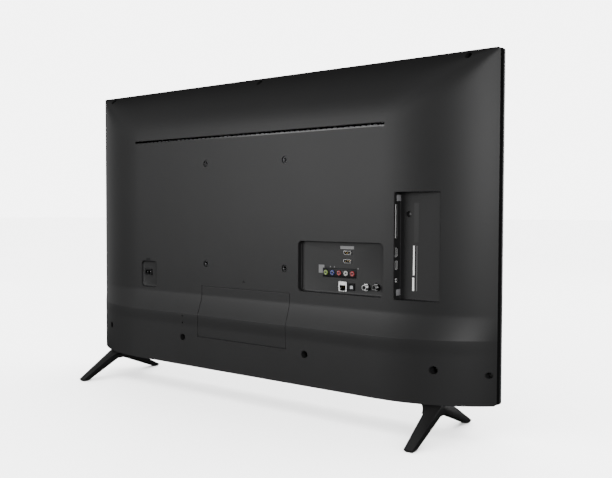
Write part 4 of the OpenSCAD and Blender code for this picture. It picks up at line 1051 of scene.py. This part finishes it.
def prints():
    """Plain strips, plates and dots on the recess floors and on the flat back."""
    side, rear, flat = (behind((0.0, 0.0), face) for face in (SIDE_FLOOR, AV_FLOOR, PLATEAU_Y))
    for name, u, v in (("side_strip_long", (-357.3, -354.5), (265.0, 314.5)),
                       ("side_strip_short", (-356.8, -353.4), (239.0, 261.0))):
        piece(name, [brick(u, v, PRINT, side)], WHITE_PRINT, "rca_white")
    lines = [brick((-362.0, -361.2), (239.0, 314.5), PRINT, side)]
    for u, v in (((-245.7, -217.2), (305.2, 310.6)), ((-183.0, -170.8), (261.2, 275.8))):
        lines.append(brick(u, v, PRINT, rear))
    for at in ((-196.1, 273.0), (-204.7, 272.8), (-254.5, 272.0)):
        lines.append(solid(circle(1.2, 16), PRINT, behind(at, AV_FLOOR)))
    piece("grey_prints", lines, GREY_PRINT, "gasket")
    arrow = [(-4.5, 233.5), (4.5, 233.5), (0.0, 238.0)]
    plate = [(u + INLET_X + 3.0, v + 268.5) for u, v in rounded(13.0, 4.6, 1.5, 3)]
    piece("dark_prints", [solid(outline, PRINT, flat) for outline in (arrow, plate)], BLACK, "socket_black")
    piece("side_label", [brick((-364.5, -356.0), (320.0, 386.0), PRINT, side)], BARE_LABEL, "gasket")


def shutter_window():
    """The pale inner field of the optical socket's shutter."""
    low, high = (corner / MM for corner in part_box("optical_shutter"))
    at = ((low.x + high.x) / 2, (low.z + high.z) / 2 - 0.6)
    obj = group([solid(rounded(6.0, 5.6, 0.8, 3), (-0.1, 0.12), behind(at, high.y))], "shutter_window", GREY)
    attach(obj, "optical_shutter")


def card_rail():
    """The bright guide strip along the card slot's mouth."""
    rail = brick((-28.0, 28.0), (2.6, 4.0), (-1.2, SIDE_SINK + 0.1), beside(CARD_Z))
    piece("card_rail", [rail], TIN, "socket_metal")


video_sockets()
usb_socket()
shutter_window()
card_rail()
audio_jack()
phono_sockets()
network_jack()
aerial_sockets()
mains_inlet()
screws("cover_screw_set", "cover_screws", [(LOW_WELLS + [SIDE_WELL], DEEP_SEAT, 3.8, 1.5, 9.0),
                                           (EDGE_WELLS, EDGE_SEAT, 3.8, 1.5, 10.0)])
screws("foot_screw_set", "foot_screws", [(FOOT_WELLS, FOOT_SEAT, 4.0, 2.0, 16.0)])
wall_posts()
prints()

PAINTED = {
    "middle_frame": DARK, "optical_sheets": FILM, "diffuser_plate": FILM, "reflector_sheet": FILM,
    "led_bars": LACQUER, "led_lenses": LENS, "back_chassis": STEEL, "board_standoffs": BRASS,
    "board_screws": ZINC, "main_board": GREEN_BOARD, "heat_sink": ANODISED, "power_board": BROWN_BOARD,
    "transformers": TAPE, "capacitors": SLEEVE, "tcon_board": GREEN_BOARD, "panel_ribbon": CABLE,
    "power_harness": CABLE, "wifi_module": BLUE_BOARD, "left_speaker": DARK, "right_speaker": DARK,
    "speaker_drivers": DARK, "key_board": GREEN_BOARD, "foot_brackets": STEEL,
}
for node, obj in nodes.items():
    obj.data.materials.clear()
    obj.data.materials.append(PAINTED.get(node, DARK))


# Camera, floor and light
CAMERA = (-945.7, 1110.9, 369.4)
TURN, PITCH, ROLL = math.radians(36.46), math.radians(-2.05), math.radians(0.17)
ahead = Vector((math.sin(TURN) * math.cos(PITCH), -math.cos(TURN) * math.cos(PITCH), math.sin(PITCH)))
right = ahead.cross(Vector((0.0, 0.0, 1.0))).normalized()
up = right.cross(ahead)
view = Matrix((right, up, -ahead)).transposed().to_4x4()
camera_data = bpy.data.cameras.new("camera")
camera_data.lens = 43.69
camera_data.sensor_width = 36.0
camera_data.clip_start = 0.01
camera_data.clip_end = 150.0
camera = bpy.data.objects.new("camera", camera_data)
camera.matrix_world = Matrix.Translation([c * MM for c in CAMERA]) @ view @ Matrix.Rotation(ROLL, 4, "Z")
bpy.context.scene.collection.objects.link(camera)
bpy.context.scene.camera = camera

FLOOR = moulded("floor_paint", (0.86, 0.86, 0.86), 0.6, grain=60.0, depth=0.00002, spread=0.01, patch=0.6)
FLOOR_HALF = 40000.0
corners = [(x * FLOOR_HALF, y * FLOOR_HALF, 0) for x, y in ((-1, -1), (1, -1), (1, 1), (-1, 1))]
floor = build("floor", corners, [[0, 1, 2, 3]], FLOOR)
floor.visible_glossy = False
floor.visible_diffuse = False


def lamp(name, at, aim, size, radiance):
    """A soft box at one place, facing another."""
    data = bpy.data.lights.new(name, "AREA")
    data.shape = "RECTANGLE"
    data.size, data.size_y = size
    data.energy = radiance * math.pi * size[0] * size[1]
    obj = bpy.data.objects.new(name, data)
    place, target = Vector(at), Vector(aim)
    obj.matrix_world = Matrix.Translation(place) @ (target - place).to_track_quat("-Z", "Y").to_matrix().to_4x4()
    bpy.context.scene.collection.objects.link(obj)


lamp("left_box", (1.3, 2.7, 0.82), (-0.15, 0.0, 0.4), (1.7, 1.4), 9.6)
lamp("right_box", (-2.15, 1.8, 0.78), (-0.46, 0.0, 0.42), (0.9, 0.7), 29.0)
lamp("edge_box", (2.8, -0.55, 0.5), (0.45, 0.0, 0.35), (1.3, 1.4), 0.65)
lamp("front_box", (-1.6, -2.8, 0.7), (0.0, 0.0, 0.3), (2.0, 1.6), 5.0)


def wash():
    """Even light from above that falls on the floor alone."""
    data = bpy.data.lights.new("floor_wash", "SUN")
    data.energy = 19.5
    data.angle = math.radians(150.0)
    obj = bpy.data.objects.new("floor_wash", data)
    bpy.context.scene.collection.objects.link(obj)
    lit = bpy.data.collections.new("floor_wash_lights")
    lit.objects.link(floor)
    obj.light_linking.receiver_collection = lit


wash()


def studio():
    """The room: pale behind the camera, dark behind the screen, and white where the camera sees it."""
    world = bpy.data.worlds.new("studio")
    world.use_nodes = True
    tree = world.node_tree
    room = tree.nodes["Background"]
    out = tree.nodes["World Output"]
    where = tree.nodes.new("ShaderNodeTexCoord")
    parts = tree.nodes.new("ShaderNodeSeparateXYZ")
    tree.links.new(where.outputs["Generated"], parts.inputs["Vector"])
    limits = []
    for axis, span, levels in (("Y", (-0.15, 0.4), (0.02, 0.5)), ("Z", (-0.4, 0.1), (0.15, 1.0))):
        node = tree.nodes.new("ShaderNodeMapRange")
        node.interpolation_type = "SMOOTHSTEP"
        node.inputs["From Min"].default_value, node.inputs["From Max"].default_value = span
        node.inputs["To Min"].default_value, node.inputs["To Max"].default_value = levels
        tree.links.new(parts.outputs[axis], node.inputs["Value"])
        limits.append(node)
    level = tree.nodes.new("ShaderNodeMath")
    level.operation = "MULTIPLY"
    for i, node in enumerate(limits):
        tree.links.new(node.outputs["Result"], level.inputs[i])
    tree.links.new(level.outputs["Value"], room.inputs["Strength"])
    room.inputs["Color"].default_value = (1.0, 1.0, 1.0, 1.0)
    white = tree.nodes.new("ShaderNodeBackground")
    white.inputs["Color"].default_value = (1.0, 1.0, 1.0, 1.0)
    white.inputs["Strength"].default_value = 6.0
    seen = tree.nodes.new("ShaderNodeLightPath")
    mix = tree.nodes.new("ShaderNodeMixShader")
    tree.links.new(seen.outputs["Is Camera Ray"], mix.inputs["Fac"])
    tree.links.new(room.outputs["Background"], mix.inputs[1])
    tree.links.new(white.outputs["Background"], mix.inputs[2])
    tree.links.new(mix.outputs["Shader"], out.inputs["Surface"])
    bpy.context.scene.world = world


studio()
